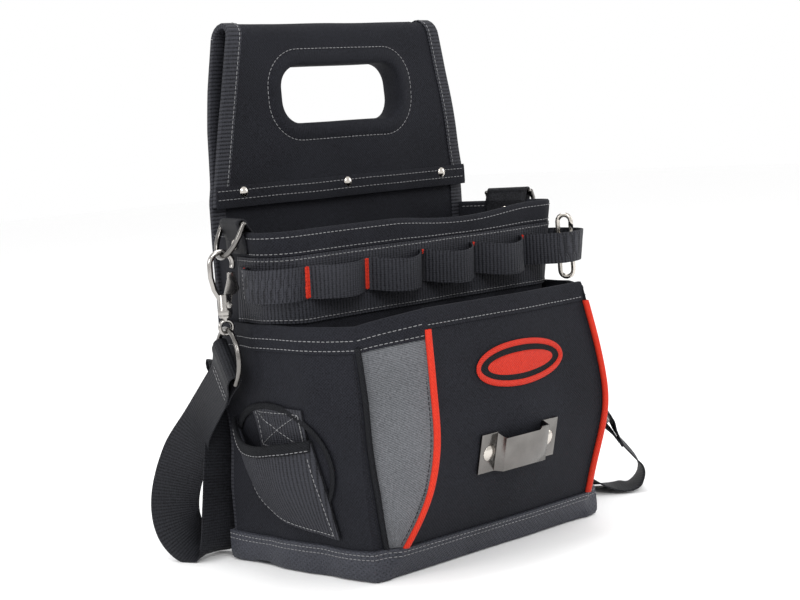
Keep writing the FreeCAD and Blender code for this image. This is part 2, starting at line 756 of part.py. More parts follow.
# The snap hangs from the origin of its own frame, which is the middle of the ring's wire. Its
# hook lies in the local y-z plane: the spine is on the outer side and the gate faces the bag.
HOOK_RADIUS = 9.0
HOOK_WIRE = 2.1
HOOK_CENTRE_Z = -(HOOK_RADIUS - HOOK_WIRE - RING_WIRE - 0.15)
NOSE_ANGLE = 205.0
GATE_PIVOT = (-1.5, -35.0)
BODY_BOTTOM = -42.5
SWIVEL_EYE_Z = -52.0
SWIVEL_EYE_RADIUS = 5.0
SWIVEL_EYE_WIRE = 1.5


def snap_body_shape():
    curve = arc_points((0, HOOK_CENTRE_Z), 0, NOSE_ANGLE, HOOK_RADIUS, 15)
    spine = [(3.0, -31.0), (7.0, -23.5), (HOOK_RADIUS, -14.0)]
    hook = tube([FreeCAD.Vector(0, y, z) for y, z in spine + curve], HOOK_WIRE)
    knuckle = rod(FreeCAD.Vector(0, 0, BODY_BOTTOM + 15), FreeCAD.Vector(0, 0, BODY_BOTTOM), 5.0)
    collar = rod(FreeCAD.Vector(0, 0, BODY_BOTTOM + 4), FreeCAD.Vector(0, 0, BODY_BOTTOM), 5.6)
    fork = Part.makeBox(3.2, 16, 22, FreeCAD.Vector(-1.6, -14, BODY_BOTTOM + 4.2))
    socket = rod(FreeCAD.Vector(0, 0, BODY_BOTTOM - 1), FreeCAD.Vector(0, 0, BODY_BOTTOM + 6), 2.05)
    pin_hole = rod(FreeCAD.Vector(-8, *GATE_PIVOT), FreeCAD.Vector(8, *GATE_PIVOT), 1.3)
    body = hook.fuse(knuckle).fuse(collar).cut(fork).cut(socket).cut(pin_hole)
    return one_solid(body)


def nose_point():
    a = math.radians(NOSE_ANGLE)
    return HOOK_RADIUS * math.cos(a), HOOK_CENTRE_Z + HOOK_RADIUS * math.sin(a)


def gate_shape():
    """The lever gate: a flat bar from its pivot up to the hook's nose, with a thumb tail."""
    ny, nz = nose_point()
    py, pz = GATE_PIVOT
    half = 1.3
    outline = [(py - 2.6, pz - 2.6), (py + 2.4, pz - 2.4), (py + 2.6, pz + 3.0), (ny + 4.4, nz - 8.0),
               (ny + 3.9, nz - 3.0), (ny - 1.2, nz - 2.7), (ny - 2.6, nz - 9.0),
               (ny - 4.2, nz - 15.0), (ny - 3.6, nz - 17.0), (py - 5.0, pz + 6.0)]
    face = Part.Face(closed_wire([FreeCAD.Vector(-half, y, z) for y, z in outline]))
    gate = face.extrude(FreeCAD.Vector(2 * half, 0, 0))
    hole = rod(FreeCAD.Vector(-8, py, pz), FreeCAD.Vector(8, py, pz), 1.2)
    return one_solid(gate.cut(hole))


def gate_pin_shape():
    py, pz = GATE_PIVOT
    pin = rod(FreeCAD.Vector(-5.4, py, pz), FreeCAD.Vector(5.4, py, pz), 1.15)
    heads = [rod(FreeCAD.Vector(x, py, pz), FreeCAD.Vector(x + s, py, pz), 2.4)
             for x, s in ((-6.4, 1.2), (5.2, 1.2))]
    return one_solid(pin.fuse(heads))


def swivel_shape():
    """The swivel: a stem in the body's socket and a round eye below it."""
    stem = rod(FreeCAD.Vector(0, 0, BODY_BOTTOM + 3.9), FreeCAD.Vector(0, 0, SWIVEL_EYE_Z + 5.0), 2.0)
    flange = rod(FreeCAD.Vector(0, 0, BODY_BOTTOM - 0.3), FreeCAD.Vector(0, 0, BODY_BOTTOM - 2.3), 4.6)
    centre = FreeCAD.Vector(0, 0, SWIVEL_EYE_Z)
    eye = Part.makeTorus(SWIVEL_EYE_RADIUS, SWIVEL_EYE_WIRE, centre, FreeCAD.Vector(1, 0, 0))
    return one_solid(stem.fuse(flange).fuse(eye))


def strap_ring_shape(turn):
    """The strap's D-ring: its bow hangs in the swivel's eye and it is turned about its own centre."""
    apex = SWIVEL_EYE_Z - (SWIVEL_EYE_RADIUS - SWIVEL_EYE_WIRE - RING_WIRE - 0.15)
    centre = FreeCAD.Vector(0, 0, apex - RING_HALF)
    ring = turned(ring_shape(), FreeCAD.Vector(0, 1, 0), 180)
    ring.translate(centre - FreeCAD.Vector(0, 0, RING_DROP - RING_HALF))
    return turned(ring, FreeCAD.Vector(0, 1, 0), -turn, centre)


def strap_bar(turn):
    """The middle of the strap ring's bar, the bar's direction, and the way the strap leaves."""
    apex = SWIVEL_EYE_Z - (SWIVEL_EYE_RADIUS - SWIVEL_EYE_WIRE - RING_WIRE - 0.15)
    a = math.radians(turn)
    leave = FreeCAD.Vector(math.sin(a), 0, -math.cos(a))
    middle = FreeCAD.Vector(0, 0, apex - RING_HALF) + leave * (RING_DROP - RING_HALF)
    return middle, FreeCAD.Vector(math.cos(a), 0, math.sin(a)), leave


class Chain:
    """A D-ring with a trigger snap and the strap's ring hanging from it.

    tilt is how far the ring leans out, snap_tilt the same for the snap, reach how far along the
    ring's bow the hook has slid, turn how far the strap ring has turned, and twist the swivel's
    angle. All are in degrees.
    """

    def __init__(self, mount, bar, tilt, snap_tilt, reach, turn, twist):
        self.mount, self.bar = mount, bar
        self.tilt, self.snap_tilt, self.reach = tilt, snap_tilt, reach
        self.turn, self.twist = turn, twist
        a = math.radians(reach)
        shoulder = -(RING_DROP - RING_HALF)
        hook = FreeCAD.Vector(RING_HALF * math.sin(a), 0, shoulder - RING_HALF * math.cos(a))
        self.hook = self.lean(tilt).multVec(hook)

    def lean(self, degrees):
        return FreeCAD.Rotation(FreeCAD.Vector(1, 0, 0), degrees)

    def ring(self):
        shape = ring_shape()
        shape.Placement = FreeCAD.Placement(self.bar, self.lean(self.tilt)).multiply(shape.Placement)
        return self.mount.placed(shape)

    def snap_place(self, twist=0.0):
        sway = FreeCAD.Rotation(FreeCAD.Vector(0, 1, 0), -self.reach)
        spin = FreeCAD.Rotation(FreeCAD.Vector(0, 0, 1), twist)
        turn = self.lean(self.snap_tilt).multiply(sway).multiply(spin)
        return FreeCAD.Placement(self.bar + self.hook, turn)

    def on_snap(self, shape, twist=0.0):
        copy = shape.copy()
        copy.Placement = self.snap_place(twist).multiply(copy.Placement)
        return self.mount.placed(copy)

    def point(self, local, twist=0.0):
        p = self.snap_place(twist).multVec(local)
        return self.mount.point(p.x, p.y, p.z)

    def direction(self, local, twist=0.0):
        return self.point(local, twist) - self.point(FreeCAD.Vector(0, 0, 0), twist)


UPPER_TAB_D = 48.0


def side_wall_x(d, z):
    """Half the width over the upper compartment's side walls at a depth and height."""
    (x0, d0), (x1, d1) = upper_outline(z)[:2]
    return -mix(x0, x1, (d - d0) / (d1 - d0))


def side_wall_lean(d):
    return (side_wall_x(d, UPPER_RIM) - side_wall_x(d, UPPER_RIM - 30.0)) / 30.0


def rim_mount(side):
    (x0, d0), (x1, d1) = upper_outline(UPPER_RIM)[:2]
    x = side_wall_x(UPPER_TAB_D, UPPER_RIM)
    return Mount(side * x, UPPER_TAB_D, UPPER_RIM, side * (d1 - d0), x1 - x0)


LEFT_TAB = rim_mount(-1)
RIGHT_TAB = rim_mount(1)
BAR_OVER_RIM = FreeCAD.Vector(0, BAR_Y, BAR_Z)
SIDE_TAB = Mount(149.6, 72.0, 160.0, 1.0, 0.0)
SIDE_BAR = FreeCAD.Vector(0, 3.4, 0)
LEFT_CHAIN = Chain(LEFT_TAB, BAR_OVER_RIM, 26.0, 0.0, 0.0, 46.0, 0.0)
RIGHT_CHAIN = Chain(SIDE_TAB, SIDE_BAR, 27.0, 27.0, 12.5, 0.0, -38.0)
FREE_RING = Chain(RIGHT_TAB, BAR_OVER_RIM, 30.0, 0.0, 0.0, 0.0, 0.0)


def tab_rivet_ends(mount):
    shift = -7.0 * side_wall_lean(UPPER_TAB_D)
    return mount.point(0, TAB_OUTSIDE + 0.6 + shift, -7.0), mount.point(0, TAB_INSIDE - 0.9 + shift, -7.0)


def tab_holes():
    holes = []
    for mount in (LEFT_TAB, RIGHT_TAB):
        front, rear = tab_rivet_ends(mount)
        out = (front - rear) * 3
        holes.append(rod(rear - out, front + out, RIVET_SHANK + 0.1))
    return holes


def side_tab_shape():
    """A short webbing tab sewn flat on the side pocket, with a ring's bar in its lower fold."""
    inner, outer = RING_WIRE + 0.4, RING_WIRE + 0.4 + WEBBING
    y, z = SIDE_BAR.y, SIDE_BAR.z
    low = [(y + a, z + b) for a, b in arc_points((0, 0), -200, 20, outer, 11)]
    high = [(y + a, z + b) for a, b in arc_points((0, 0), 20, -200, inner, 11)]
    top = 14.5
    outline = low + [(y + 0.2, z + 8), (0.35 + 2 * WEBBING, top), (0.35, top), (0.35, z + 6)]
    hole = high + [(y - 1.0, z + 5.0)]
    width = TAB_WIDTH / 2
    face = Part.Face([
        closed_wire([FreeCAD.Vector(-width, a, b) for a, b in outline]),
    ])
    body = face.extrude(FreeCAD.Vector(TAB_WIDTH, 0, 0))
    cut = Part.Face(closed_wire([FreeCAD.Vector(-width - 1, a, b) for a, b in hole]))
    return one_solid(body.cut(cut.extrude(FreeCAD.Vector(TAB_WIDTH + 2, 0, 0))))


def make_rings_and_snaps():
    rivets = []
    rear_lean = side_wall_lean(UPPER_TAB_D - TAB_WIDTH / 2)
    front_lean = side_wall_lean(UPPER_TAB_D + TAB_WIDTH / 2)
    for mount, word, leans in (
        (LEFT_TAB, "left", (front_lean, rear_lean)), (RIGHT_TAB, "right", (rear_lean, front_lean))
    ):
        tab = mount.placed(tab_shape(-14.0, leans))
        for hole in tab_holes():
            tab = tab.cut(hole)
        save(f"{word}_ring_tab", one_solid(tab))
        rivets.append(dome_rivet(*tab_rivet_ends(mount), 4.2))
    save("ring_tab_rivets", *rivets)
    save("side_ring_tab", SIDE_TAB.placed(side_tab_shape()))
    save("left_d_ring", LEFT_CHAIN.ring())
    save("right_d_ring", FREE_RING.ring())
    save("side_d_ring", RIGHT_CHAIN.ring())
    for word, chain in (("left", LEFT_CHAIN), ("right", RIGHT_CHAIN)):
        save(f"{word}_snap_body", chain.on_snap(snap_body_shape()))
        save(f"{word}_snap_gate", chain.on_snap(gate_shape()))
        save(f"{word}_gate_pin", chain.on_snap(gate_pin_shape()))
        save(f"{word}_swivel", chain.on_snap(swivel_shape(), chain.twist))
        save(f"{word}_strap_ring", chain.on_snap(strap_ring_shape(chain.turn), chain.twist))


# ---- Shoulder strap ----
FOLD_LENGTH = 28.0          # from the ring's bar to the sewn end


def fold_frame(chain):
    middle, bar, leave = strap_bar(chain.turn)
    centre = chain.point(middle, chain.twist)
    bar = chain.direction(bar, chain.twist)
    leave = chain.direction(leave, chain.twist)
    return centre, bar, leave, bar.cross(leave)


def strap_fold(chain):
    """The strap's end folded round the ring's bar and sewn to itself."""
    centre, bar, leave, normal = fold_frame(chain)
    inner = RING_WIRE + FOLD_GAP
    outer = inner + STRAP_THICK / 2
    tail = STRAP_THICK / 2
    round_out = arc_points((0, 0), 80, 280, outer, 13)
    round_in = arc_points((0, 0), 80, 280, inner, 13)
    outline = [(FOLD_LENGTH, tail), (24.0, tail)] + round_out + [(24.0, -tail), (FOLD_LENGTH, -tail)]
    hole = round_in + [(21.0, 0.0)]

    def solid(points, half):
        corners = [centre + leave * t + normal * n - bar * half for t, n in points]
        return Part.Face(closed_wire(corners)).extrude(bar * (2 * half))

    return one_solid(solid(outline, STRAP_WIDTH / 2).cut(solid(hole, STRAP_WIDTH)))


# Places (x, d, z) of the strap's middle line, with the direction of its width.
STRAP_ROUTE = [
    ((-148, -20, 108), (-0.05, 0.70, -0.70)),
    ((-155, -34, 79), (0.45, 0.55, -0.65)),
    ((-160, -42, 50), (0.80, 0.55, -0.25)),
    ((-159, -42, 27), (0.92, 0.40, -0.05)),
    ((-151, -35, 9), (1.0, 0.1, 0.0)),
    ((-144, -25, 4), (1.0, 0.0, 0.0)),
    ((-140, -16, 12), (1.0, 0.0, 0.0)),
    ((-137, -12, 45), (1.0, 0.0, 0.0)),
    ((-130, -12, 92), (1.0, 0.0, 0.0)),
    ((-118, -14, 134), (1.0, 0.0, 0.0)),
    ((-110, -24, 152), (1.0, 0.0, 0.0)),
    ((-105, -35, 134), (1.0, 0.0, 0.0)),
    ((-102, -40, 92), (0.9, 0.4, 0.0)),
    ((-98, -43, 50), (0.55, 0.83, 0.0)),
    ((-88, -45, 18), (0.1, 1.0, 0.0)),
    ((-68, -45, 3), (0.0, 1.0, 0.0)),
    ((-20, -44, 2), (0.0, 1.0, 0.0)),
    ((35, -42, 2), (0.0, 1.0, 0.0)),
    ((85, -40, 8), (0.0, 0.95, -0.3)),
    ((122, -33, 16), (0.0, 0.55, -0.83)),
    ((146, -12, 21), (0.0, 0.0, -1.0)),
    ((151, 20, 21), (0.0, 0.0, -1.0)),
    ((158, 48, 20), (0.05, -0.05, -1.0)),
    ((171, 68, 17), (0.3, -0.3, -0.85)),
    ((186, 90, 8), (0.6, -0.65, -0.3)),
    ((201, 108, 3), (0.67, -0.74, 0.0)),
    ((214, 118, 7), (0.67, -0.74, 0.0)),
    ((220, 119, 19), (0.7, -0.7, 0.0)),
]


def spline(values, steps):
    """Points on a smooth curve through the given vectors."""
    result = []
    for i in range(len(values) - 1):
        p0, p1 = values[max(i - 1, 0)], values[i]
        p2, p3 = values[i + 1], values[min(i + 2, len(values) - 1)]
        for k in range(steps):
            t = k / steps
            point = p1 * 2 + (p2 - p0) * t + (p0 * 2 - p1 * 5 + p2 * 4 - p3) * t**2
            point += (p1 * 3 - p0 - p2 * 3 + p3) * t**3
            result.append(point * 0.5)
    return result + [values[-1]]


def strap_line():
    """The strap's middle line and width direction, from one sewn end to the other."""
    places, widths = [], []
    start, bar, leave, _ = fold_frame(LEFT_CHAIN)
    bar = bar if bar.z < 0 else bar * -1
    places.append(start + leave * (FOLD_LENGTH - 2.0))
    widths.append(bar)
    for (x, d, z), (wx, wd, wz) in STRAP_ROUTE:
        lowest = abs(wz) * STRAP_WIDTH / 2 + WEBBING
        places.append(at(x, d, max(z, lowest)))
        widths.append(FreeCAD.Vector(wx, -wd, wz))
    end, bar, leave, _ = fold_frame(RIGHT_CHAIN)
    bar = bar if bar.dot(widths[-1]) > 0 else bar * -1
    places.append(end + leave * (FOLD_LENGTH - 2.0))
    widths.append(bar)
    return spline(places, 4), spline(widths, 4)


def make_strap():
    places, widths = strap_line()
    sections = []
    for i, (place, width) in enumerate(zip(places, widths)):
        along = places[min(i + 1, len(places) - 1)] - places[max(i - 1, 0)]
        along.normalize()
        across = width - along * width.dot(along)
        across.normalize()
        normal = along.cross(across) * (STRAP_THICK / 4)
        across = across * (STRAP_WIDTH / 2)
        corners = [place - across - normal, place + across - normal,
                   place + across + normal, place - across + normal]
        lift = max(0.3 - min(corner.z for corner in corners), 0.0)
        sections.append([corner + Z_AXIS * lift for corner in corners])
    ribbon = faceted(sections)
    strap = ribbon.fuse(strap_fold(LEFT_CHAIN)).fuse(strap_fold(RIGHT_CHAIN))
    save("shoulder_strap", one_solid(strap))


# ---- Key clip in the last tool loop ----
CLIP_STATION = 139.0
CLIP_LOW = 191.5
CLIP_TALL = 56.0
CLIP_WIRE = 2.0
CLIP_BARS = 11.0


def make_key_clip():
    z_mid = LOOP_BOTTOM + LOOP_HEIGHT / 2
    (x, d), (nx, nd) = walk_outline(z_mid, CLIP_STATION)
    out = FreeCAD.Vector(nx, -nd, 0)
    inner = at(x, d, 0) + out * 12.5
    half = CLIP_BARS / 2
    low = CLIP_LOW + CLIP_WIRE + half
    high = CLIP_LOW + CLIP_TALL - CLIP_WIRE - half
    centre = inner + out * half
    top = [centre + out * a + Z_AXIS * b for a, b in arc_points((0, high), 180, 0, half, 9)]
    foot = [centre + out * a + Z_AXIS * b for a, b in arc_points((0, low), 0, -180, half, 9)]
    gate_low, gate_high = low + 12.0, high - 6.0
    nose = centre + out * half + Z_AXIS * (gate_high + 0.6)
    heel = centre + out * half + Z_AXIS * (gate_low - 0.6)
    path = [heel] + foot + top + [nose]
    body = tube(path, CLIP_WIRE)
    side = out.cross(Z_AXIS)
    pivot = heel + Z_AXIS * 3.4
    cheeks = []
    for s in (-1, 1):
        cheek = Part.makeBox(1.0, 4.0, 7.2, FreeCAD.Vector(-0.5, -2.0, -4.4))
        facing = FreeCAD.Rotation(side, out, Z_AXIS, "XYZ")
        cheek.Placement = FreeCAD.Placement(pivot + side * (s * 1.65), facing)
        cheeks.append(cheek)
    body = body.fuse(cheeks)
    pin = rod(pivot - side * 2.15, pivot + side * 2.15, 0.6)
    body = one_solid(body.fuse(pin))
    gate = rod(pivot - Z_AXIS * 1.6, centre + out * half + Z_AXIS * gate_high, 1.05)
    gate = gate.cut(rod(pivot - side * 4, pivot + side * 4, 0.65))
    save("key_clip_body", body)
    save("key_clip_gate", one_solid(gate))


def main():
    os.makedirs("parts", exist_ok=True)
    make_panel_and_handle()
    make_handle_hem()
    make_base()
    make_upper_compartment(tab_holes())
    make_inner_divider()
    make_tool_loops()
    make_lower_pockets(tape_clip_holes())
    make_side_sleeve()
    make_tape_clip()
    make_emblem()
    make_belt_tunnel()
    make_rings_and_snaps()
    make_strap()
    make_key_clip()


main()
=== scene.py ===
"""Looks of the electrician's tool pouch: cloth, webbing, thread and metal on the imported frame.

Places are worked out in millimetres as (x, d, z), where d is the distance forward of the back
panel's rear face, and turned into metres when a mesh is made.
"""
import bmesh
import bpy
import json
import math
from mathutils import Matrix, Vector, noise

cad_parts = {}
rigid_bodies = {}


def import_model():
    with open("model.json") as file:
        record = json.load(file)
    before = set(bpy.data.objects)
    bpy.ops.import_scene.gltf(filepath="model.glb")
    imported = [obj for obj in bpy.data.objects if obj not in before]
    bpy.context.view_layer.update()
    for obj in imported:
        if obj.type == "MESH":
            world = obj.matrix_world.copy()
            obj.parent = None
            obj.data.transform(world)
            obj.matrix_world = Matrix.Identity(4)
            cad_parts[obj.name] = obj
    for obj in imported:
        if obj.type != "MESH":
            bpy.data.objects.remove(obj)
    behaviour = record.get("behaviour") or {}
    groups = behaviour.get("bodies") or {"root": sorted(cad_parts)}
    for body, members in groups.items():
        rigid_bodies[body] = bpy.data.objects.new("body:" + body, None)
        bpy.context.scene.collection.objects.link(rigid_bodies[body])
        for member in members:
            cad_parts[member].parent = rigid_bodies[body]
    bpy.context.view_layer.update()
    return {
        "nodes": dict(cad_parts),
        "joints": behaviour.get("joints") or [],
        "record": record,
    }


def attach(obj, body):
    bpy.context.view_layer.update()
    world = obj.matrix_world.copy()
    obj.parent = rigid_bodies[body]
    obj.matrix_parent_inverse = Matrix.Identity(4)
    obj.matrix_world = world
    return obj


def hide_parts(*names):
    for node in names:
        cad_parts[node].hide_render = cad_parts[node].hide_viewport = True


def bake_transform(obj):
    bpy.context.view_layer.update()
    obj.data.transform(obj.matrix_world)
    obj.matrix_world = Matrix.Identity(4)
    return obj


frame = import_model()

MM = 0.001
BACK_Y = 74

# ---- The bag's dimensions: the CAD's, apart from the tool loops' bulges and droops ----
HEIGHT, PANEL_HALF, PANEL_TOP_HALF, TAPER_Z = 416, 134, 109, 280
PLY, FABRIC = 2.6, 2.2
WALL_BOTTOM, WALL_D = 5.4, 3.8
UPPER_RIM, LOWER_RIM, FRONT_RIM, BOOT_HEIGHT = 257, 189, 197, 24
SLOT_HALF_X, SLOT_HALF_Z, SLOT_Z, SLOT_RADIUS = 63, 23, 359, 18
FOLD_RADIUS, FOLD_D = 11, -1
FOLD_Z = HEIGHT - FOLD_RADIUS
CORNER_RADIUS = 24  # of the upper compartment's front corners
SLOT_STITCHES = 13.2  # from the hand slot's edge to the stitches round it
EMBLEM_Z = 148
HEM_BOTTOM, HEM_TOP = 276, 291.5
LOOP_BOTTOM, LOOP_HEIGHT = 208, 25
TACKS = [-178, -126, -69, -12, 45, 102, 176]
BULGES = [11, 13, 18, 20, 19, 28]  # how far each tool loop stands off
DROOPS = [0.5, 1.5, 3.2, 3.6, 3.4, 0.5]  # and how far its middle hangs down
STRAP_WIDTH, STRAP_THICK = 38, 1.3
RING_TO_BAR = 5.7  # from the middle of a strap ring to its bar
JOINT_TO_RING = 34.15  # from the swivel's joint to the middle of the strap ring
CLOTH_STEP, STITCH_STEP = 6, 2  # between the points along a piece, and along a seam

BODY_OF = {node: body for body, nodes in frame["record"]["behaviour"]["bodies"].items() for node in nodes}


def at(x, d, z):
    return Vector((x, BACK_Y - d, z))


def mix(low, high, part):
    return low + (high - low) * part


def clamp(part):
    return min(max(part, 0), 1)


def ease(part):
    """Rises fast from 0 and levels off at 1."""
    return math.sin(0.5 * math.pi * min(part, 1))


def spread(low, high, count):
    """Values in equal steps from low to high, both included."""
    return [mix(low, high, k / count) for k in range(count + 1)]


def turns(count):
    """The angles of a full turn in equal steps."""
    return [2 * math.pi * k / count for k in range(count)]


def arc(centre, start, end, radius, count):
    angles = [math.radians(a) for a in spread(start, end, count - 1)]
    return [(centre[0] + radius * math.cos(a), centre[1] + radius * math.sin(a)) for a in angles]


# ---- How the cloth sags: one smooth field that every sewn piece shares ----
noise.seed_set(1794821671)  # unseeded, mathutils.noise starts from the clock
HARDWARE = [
    ((-107, 8, 286), 14), ((0, 8, 286), 14), ((107, 8, 286), 14),
    ((-146, 48, 262), 40), ((146, 48, 262), 40), ((150, 72, 163), 30),
    ((-8, 190, 86), 52), ((-152, 10, 145), 26), ((146, 104, 215), 24),
]
CALM = [(at(*place), radius) for place, radius in HARDWARE]


def rim_dip(p):
    """How far the front of the upper compartment's rim hangs down, right of the middle."""
    across = clamp((p.x + 35) / 145)
    up = clamp((p.z - 236) / 20)
    return 4.6 * math.sin(math.pi * across) ** 1.5 * up * up * (3 - 2 * up)


CREASES = [  # on a side pocket: two ends as (y, z), and the height of the fold
    ((84, 184), (20, 122), 2.6),
    ((112, 178), (62, 150), 1.7),
    ((28, 172), (4, 96), 2),
]


def crease_height(y, z):
    """How far the diagonal creases push a side pocket's cloth outwards."""
    height = 0
    for (y0, z0), (y1, z1), rise in CREASES:
        run = math.hypot(y1 - y0, z1 - z0)
        reach = ((y - y0) * (y1 - y0) + (z - z0) * (z1 - z0)) / run ** 2
        across = ((y - y0) * (z1 - z0) - (z - z0) * (y1 - y0)) / run
        if 0 < reach < 1:
            fold = math.exp(-(across / 5.5) ** 2) - 0.6 * math.exp(-((across - 10) / 6) ** 2)
            height += rise * math.sin(math.pi * reach) ** 0.7 * fold
    return height


def sag(p):
    """A point of cloth after it has settled. It stays put at the hardware and on the floor."""
    still = 1
    for centre, radius in CALM:
        still *= 1 - math.exp(-((p - centre).length / radius) ** 4)
    side = clamp((abs(p.x) - 100) / 30) * clamp((250 - p.z) / 60)
    wide = noise.noise_vector(p / 62) * (1.6 + 1.6 * side)
    slanted = p.y / 26 + p.z / 60
    folds = noise.noise_vector(Vector((p.x / 40, slanted, p.z / 70 - p.y / 60 + 7)))
    move = (wide + folds * (0.5 + 1.9 * side)) * still
    move.z *= 0.35 * min(p.z / 24, 1)
    if 105 < abs(p.x) < 160:
        beside = min((abs(p.x) - 105) / 15, 1)
        move.x += math.copysign(crease_height(p.y, p.z) * beside * still, p.x)
    if -40 < p.y < -12:
        move.z -= rim_dip(p)
    return p + move


# ---- Meshes ----
def placed(name, data):
    """A new object in the scene."""
    thing = bpy.data.objects.new(name, data)
    bpy.context.scene.collection.objects.link(thing)
    return thing


def dressed(name, mesh, look, sharp):
    """A smooth-shaded object with its material, and creased where it bends past an angle."""
    mesh.shade_smooth()
    mesh.set_sharp_from_angle(angle=math.radians(sharp))
    mesh.materials.append(look)
    return placed(name, mesh)


def finish_mesh(name, verts, faces, uvs, look, body, nodes, sharp=40.0):
    mesh = bpy.data.meshes.new(name)
    mesh.from_pydata([tuple(v * MM) for v in verts], [], faces)
    layer = mesh.uv_layers.new(name="cloth")
    layer.data.foreach_set("uv", [c for uv in uvs for c in uv])
    cleaner = bmesh.new()
    cleaner.from_mesh(mesh)
    bmesh.ops.recalc_face_normals(cleaner, faces=cleaner.faces)
    cleaner.to_mesh(mesh)
    cleaner.free()
    piece = dressed(name, mesh, look, sharp)
    if body:
        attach(piece, body)
    if nodes:
        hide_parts(*nodes)
    return piece


def loft(name, sections, look, nodes=(), body="bag", ring=False, soft=True, uv=None, sharp=40.0):
    """A closed skin through loops of points. u runs along the sections, v round each loop, in mm."""
    count = len(sections[0])
    run = [0]
    for near, far in zip(sections, sections[1:] + sections[:1]):
        run.append(run[-1] + sum((a - b).length for a, b in zip(near, far)) / count)
    girth = [0]
    middle = sections[len(sections) // 2]
    for a, b in zip(middle, middle[1:] + middle[:1]):
        girth.append(girth[-1] + (a - b).length)
    faces, uvs = [], []
    for i in range(len(sections) if ring else len(sections) - 1):
        j = (i + 1) % len(sections)
        for k in range(count):
            m = (k + 1) % count
            faces.append((i * count + k, i * count + m, j * count + m, j * count + k))
            if uv:
                uvs += [uv[i][k], uv[i][m], uv[j][m], uv[j][k]]
            else:
                uvs += [(run[i], girth[k]), (run[i], girth[k + 1]),
                        (run[i + 1], girth[k + 1]), (run[i + 1], girth[k])]
    if not ring:
        last = (len(sections) - 1) * count
        faces.append(tuple(range(count)))
        faces.append(tuple(last + k for k in range(count)))
        uvs += [(0.0, g) for g in girth[:-1]] * 2
    points = [p for section in sections for p in section]
    verts = [sag(p) for p in points] if soft else points
    return finish_mesh(name, verts, faces, uvs, look, body, nodes, sharp)


def from_cad(node, look, soft=False, sharp=50, bevel=0, level=False):
    """A finer copy of a CAD node, with smooth shading, in its place."""
    shape = bmesh.new()
    shape.from_mesh(frame["nodes"][node].data)
    bmesh.ops.remove_doubles(shape, verts=shape.verts, dist=1e-6)
    if soft:
        for _ in range(8):
            long = [edge for edge in shape.edges if edge.calc_length() > 0.009]
            if not long:
                break
            bmesh.ops.subdivide_edges(shape, edges=long, cuts=1)
            bmesh.ops.triangulate(shape, faces=shape.faces)
        for vert in shape.verts:
            vert.co = sag(vert.co / MM) * MM
    layer = shape.loops.layers.uv.verify()
    shape.normal_update()
    for face in shape.faces:
        normal = [abs(c) for c in face.normal]
        flat = normal.index(max(normal))
        for corner in face.loops:
            u, v = [c for k, c in enumerate(corner.vert.co / MM) if k != flat]
            corner[layer].uv = (v, u) if level else (u, v)
    mesh = bpy.data.meshes.new(node + "_mesh")
    shape.to_mesh(mesh)
    shape.free()
    piece = dressed("look_" + node, mesh, look, sharp)
    if bevel:
        edge = piece.modifiers.new("edge", "BEVEL")
        edge.width = bevel * MM
        edge.segments = 2
        edge.angle_limit = math.radians(35)
    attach(piece, BODY_OF[node])
    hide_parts(node)
    return piece


# ---- Materials ----
class Look:
    """A node material in the making. Cloth patterns come from the mesh's own run in mm."""

    def __init__(self, name, roughness, metallic=0.0):
        self.material = bpy.data.materials.new(name)
        self.material.use_nodes = True
        self.tree = self.material.node_tree
        self.shader = self.tree.nodes["Principled BSDF"]
        self.shader.inputs["Metallic"].default_value = metallic
        self.shader.inputs["Roughness"].default_value = roughness
        self.shader.inputs["Specular IOR Level"].default_value = 0.5 if metallic else 0.14

    def feed(self, socket, value):
        if isinstance(value, bpy.types.NodeSocket):
            self.tree.links.new(value, socket)
        else:
            socket.default_value = value

    def node(self, kind, **inputs):
        node = self.tree.nodes.new("ShaderNode" + kind)
        for name, value in inputs.items():
            self.feed(node.inputs[name], value)
        return node

    def math(self, operation, first, second=0.0):
        node = self.node("Math")
        node.operation = operation
        self.feed(node.inputs[0], first)
        self.feed(node.inputs[1], second)
        return node.outputs[0]

    def run(self):
        """The cloth's own coordinates in mm, lengthwise and crosswise."""
        place = self.tree.nodes.new("ShaderNodeUVMap")
        place.uv_map = "cloth"
        split = self.node("SeparateXYZ", Vector=place.outputs["UV"])
        return split.outputs["X"], split.outputs["Y"]

    def wave(self, value, pitch):
        return self.math("SINE", self.math("MULTIPLY", value, 2 * math.pi / pitch))

    def speckle(self, scale, detail=3.0):
        place = self.tree.nodes.new("ShaderNodeTexCoord").outputs["Object"]
        return self.node("TexNoise", Vector=place, Scale=scale, Detail=detail).outputs["Fac"]

    def colour(self, factor, dark, light):
        ramp = self.tree.nodes.new("ShaderNodeValToRGB")
        ramp.color_ramp.elements[0].color = (*dark, 1)
        ramp.color_ramp.elements[1].color = (*light, 1)
        self.tree.links.new(factor, ramp.inputs["Fac"])
        self.tree.links.new(ramp.outputs["Color"], self.shader.inputs["Base Color"])

    def bump(self, height, distance):
        bump = self.node("Bump", Height=height, Strength=1.0, Distance=distance * MM)
        self.tree.links.new(bump.outputs["Normal"], self.shader.inputs["Normal"])


def woven(name, pattern, dark, light, depth, roughness=0.82, contrast=0.42):
    """Cloth: a weave pattern with uneven yarn, worn lighter in places."""
    look = Look(name, roughness)
    u, v = look.run()
    weave = pattern(look, u, v)
    yarn = look.speckle(900.0, 2.0)
    worn = look.speckle(14.0, 4.0)
    weave_part = look.math("MULTIPLY", weave, contrast)
    yarn_part = look.math("MULTIPLY", look.math("SUBTRACT", yarn, 0.5), 1.3)
    worn_part = look.math("MULTIPLY", worn, 0.55)
    tone = look.math("ADD", look.math("ADD", weave_part, yarn_part), worn_part)
    look.colour(tone, dark, light)
    look.bump(look.math("ADD", weave, look.math("MULTIPLY", yarn, 0.6)), depth)
    return look.material


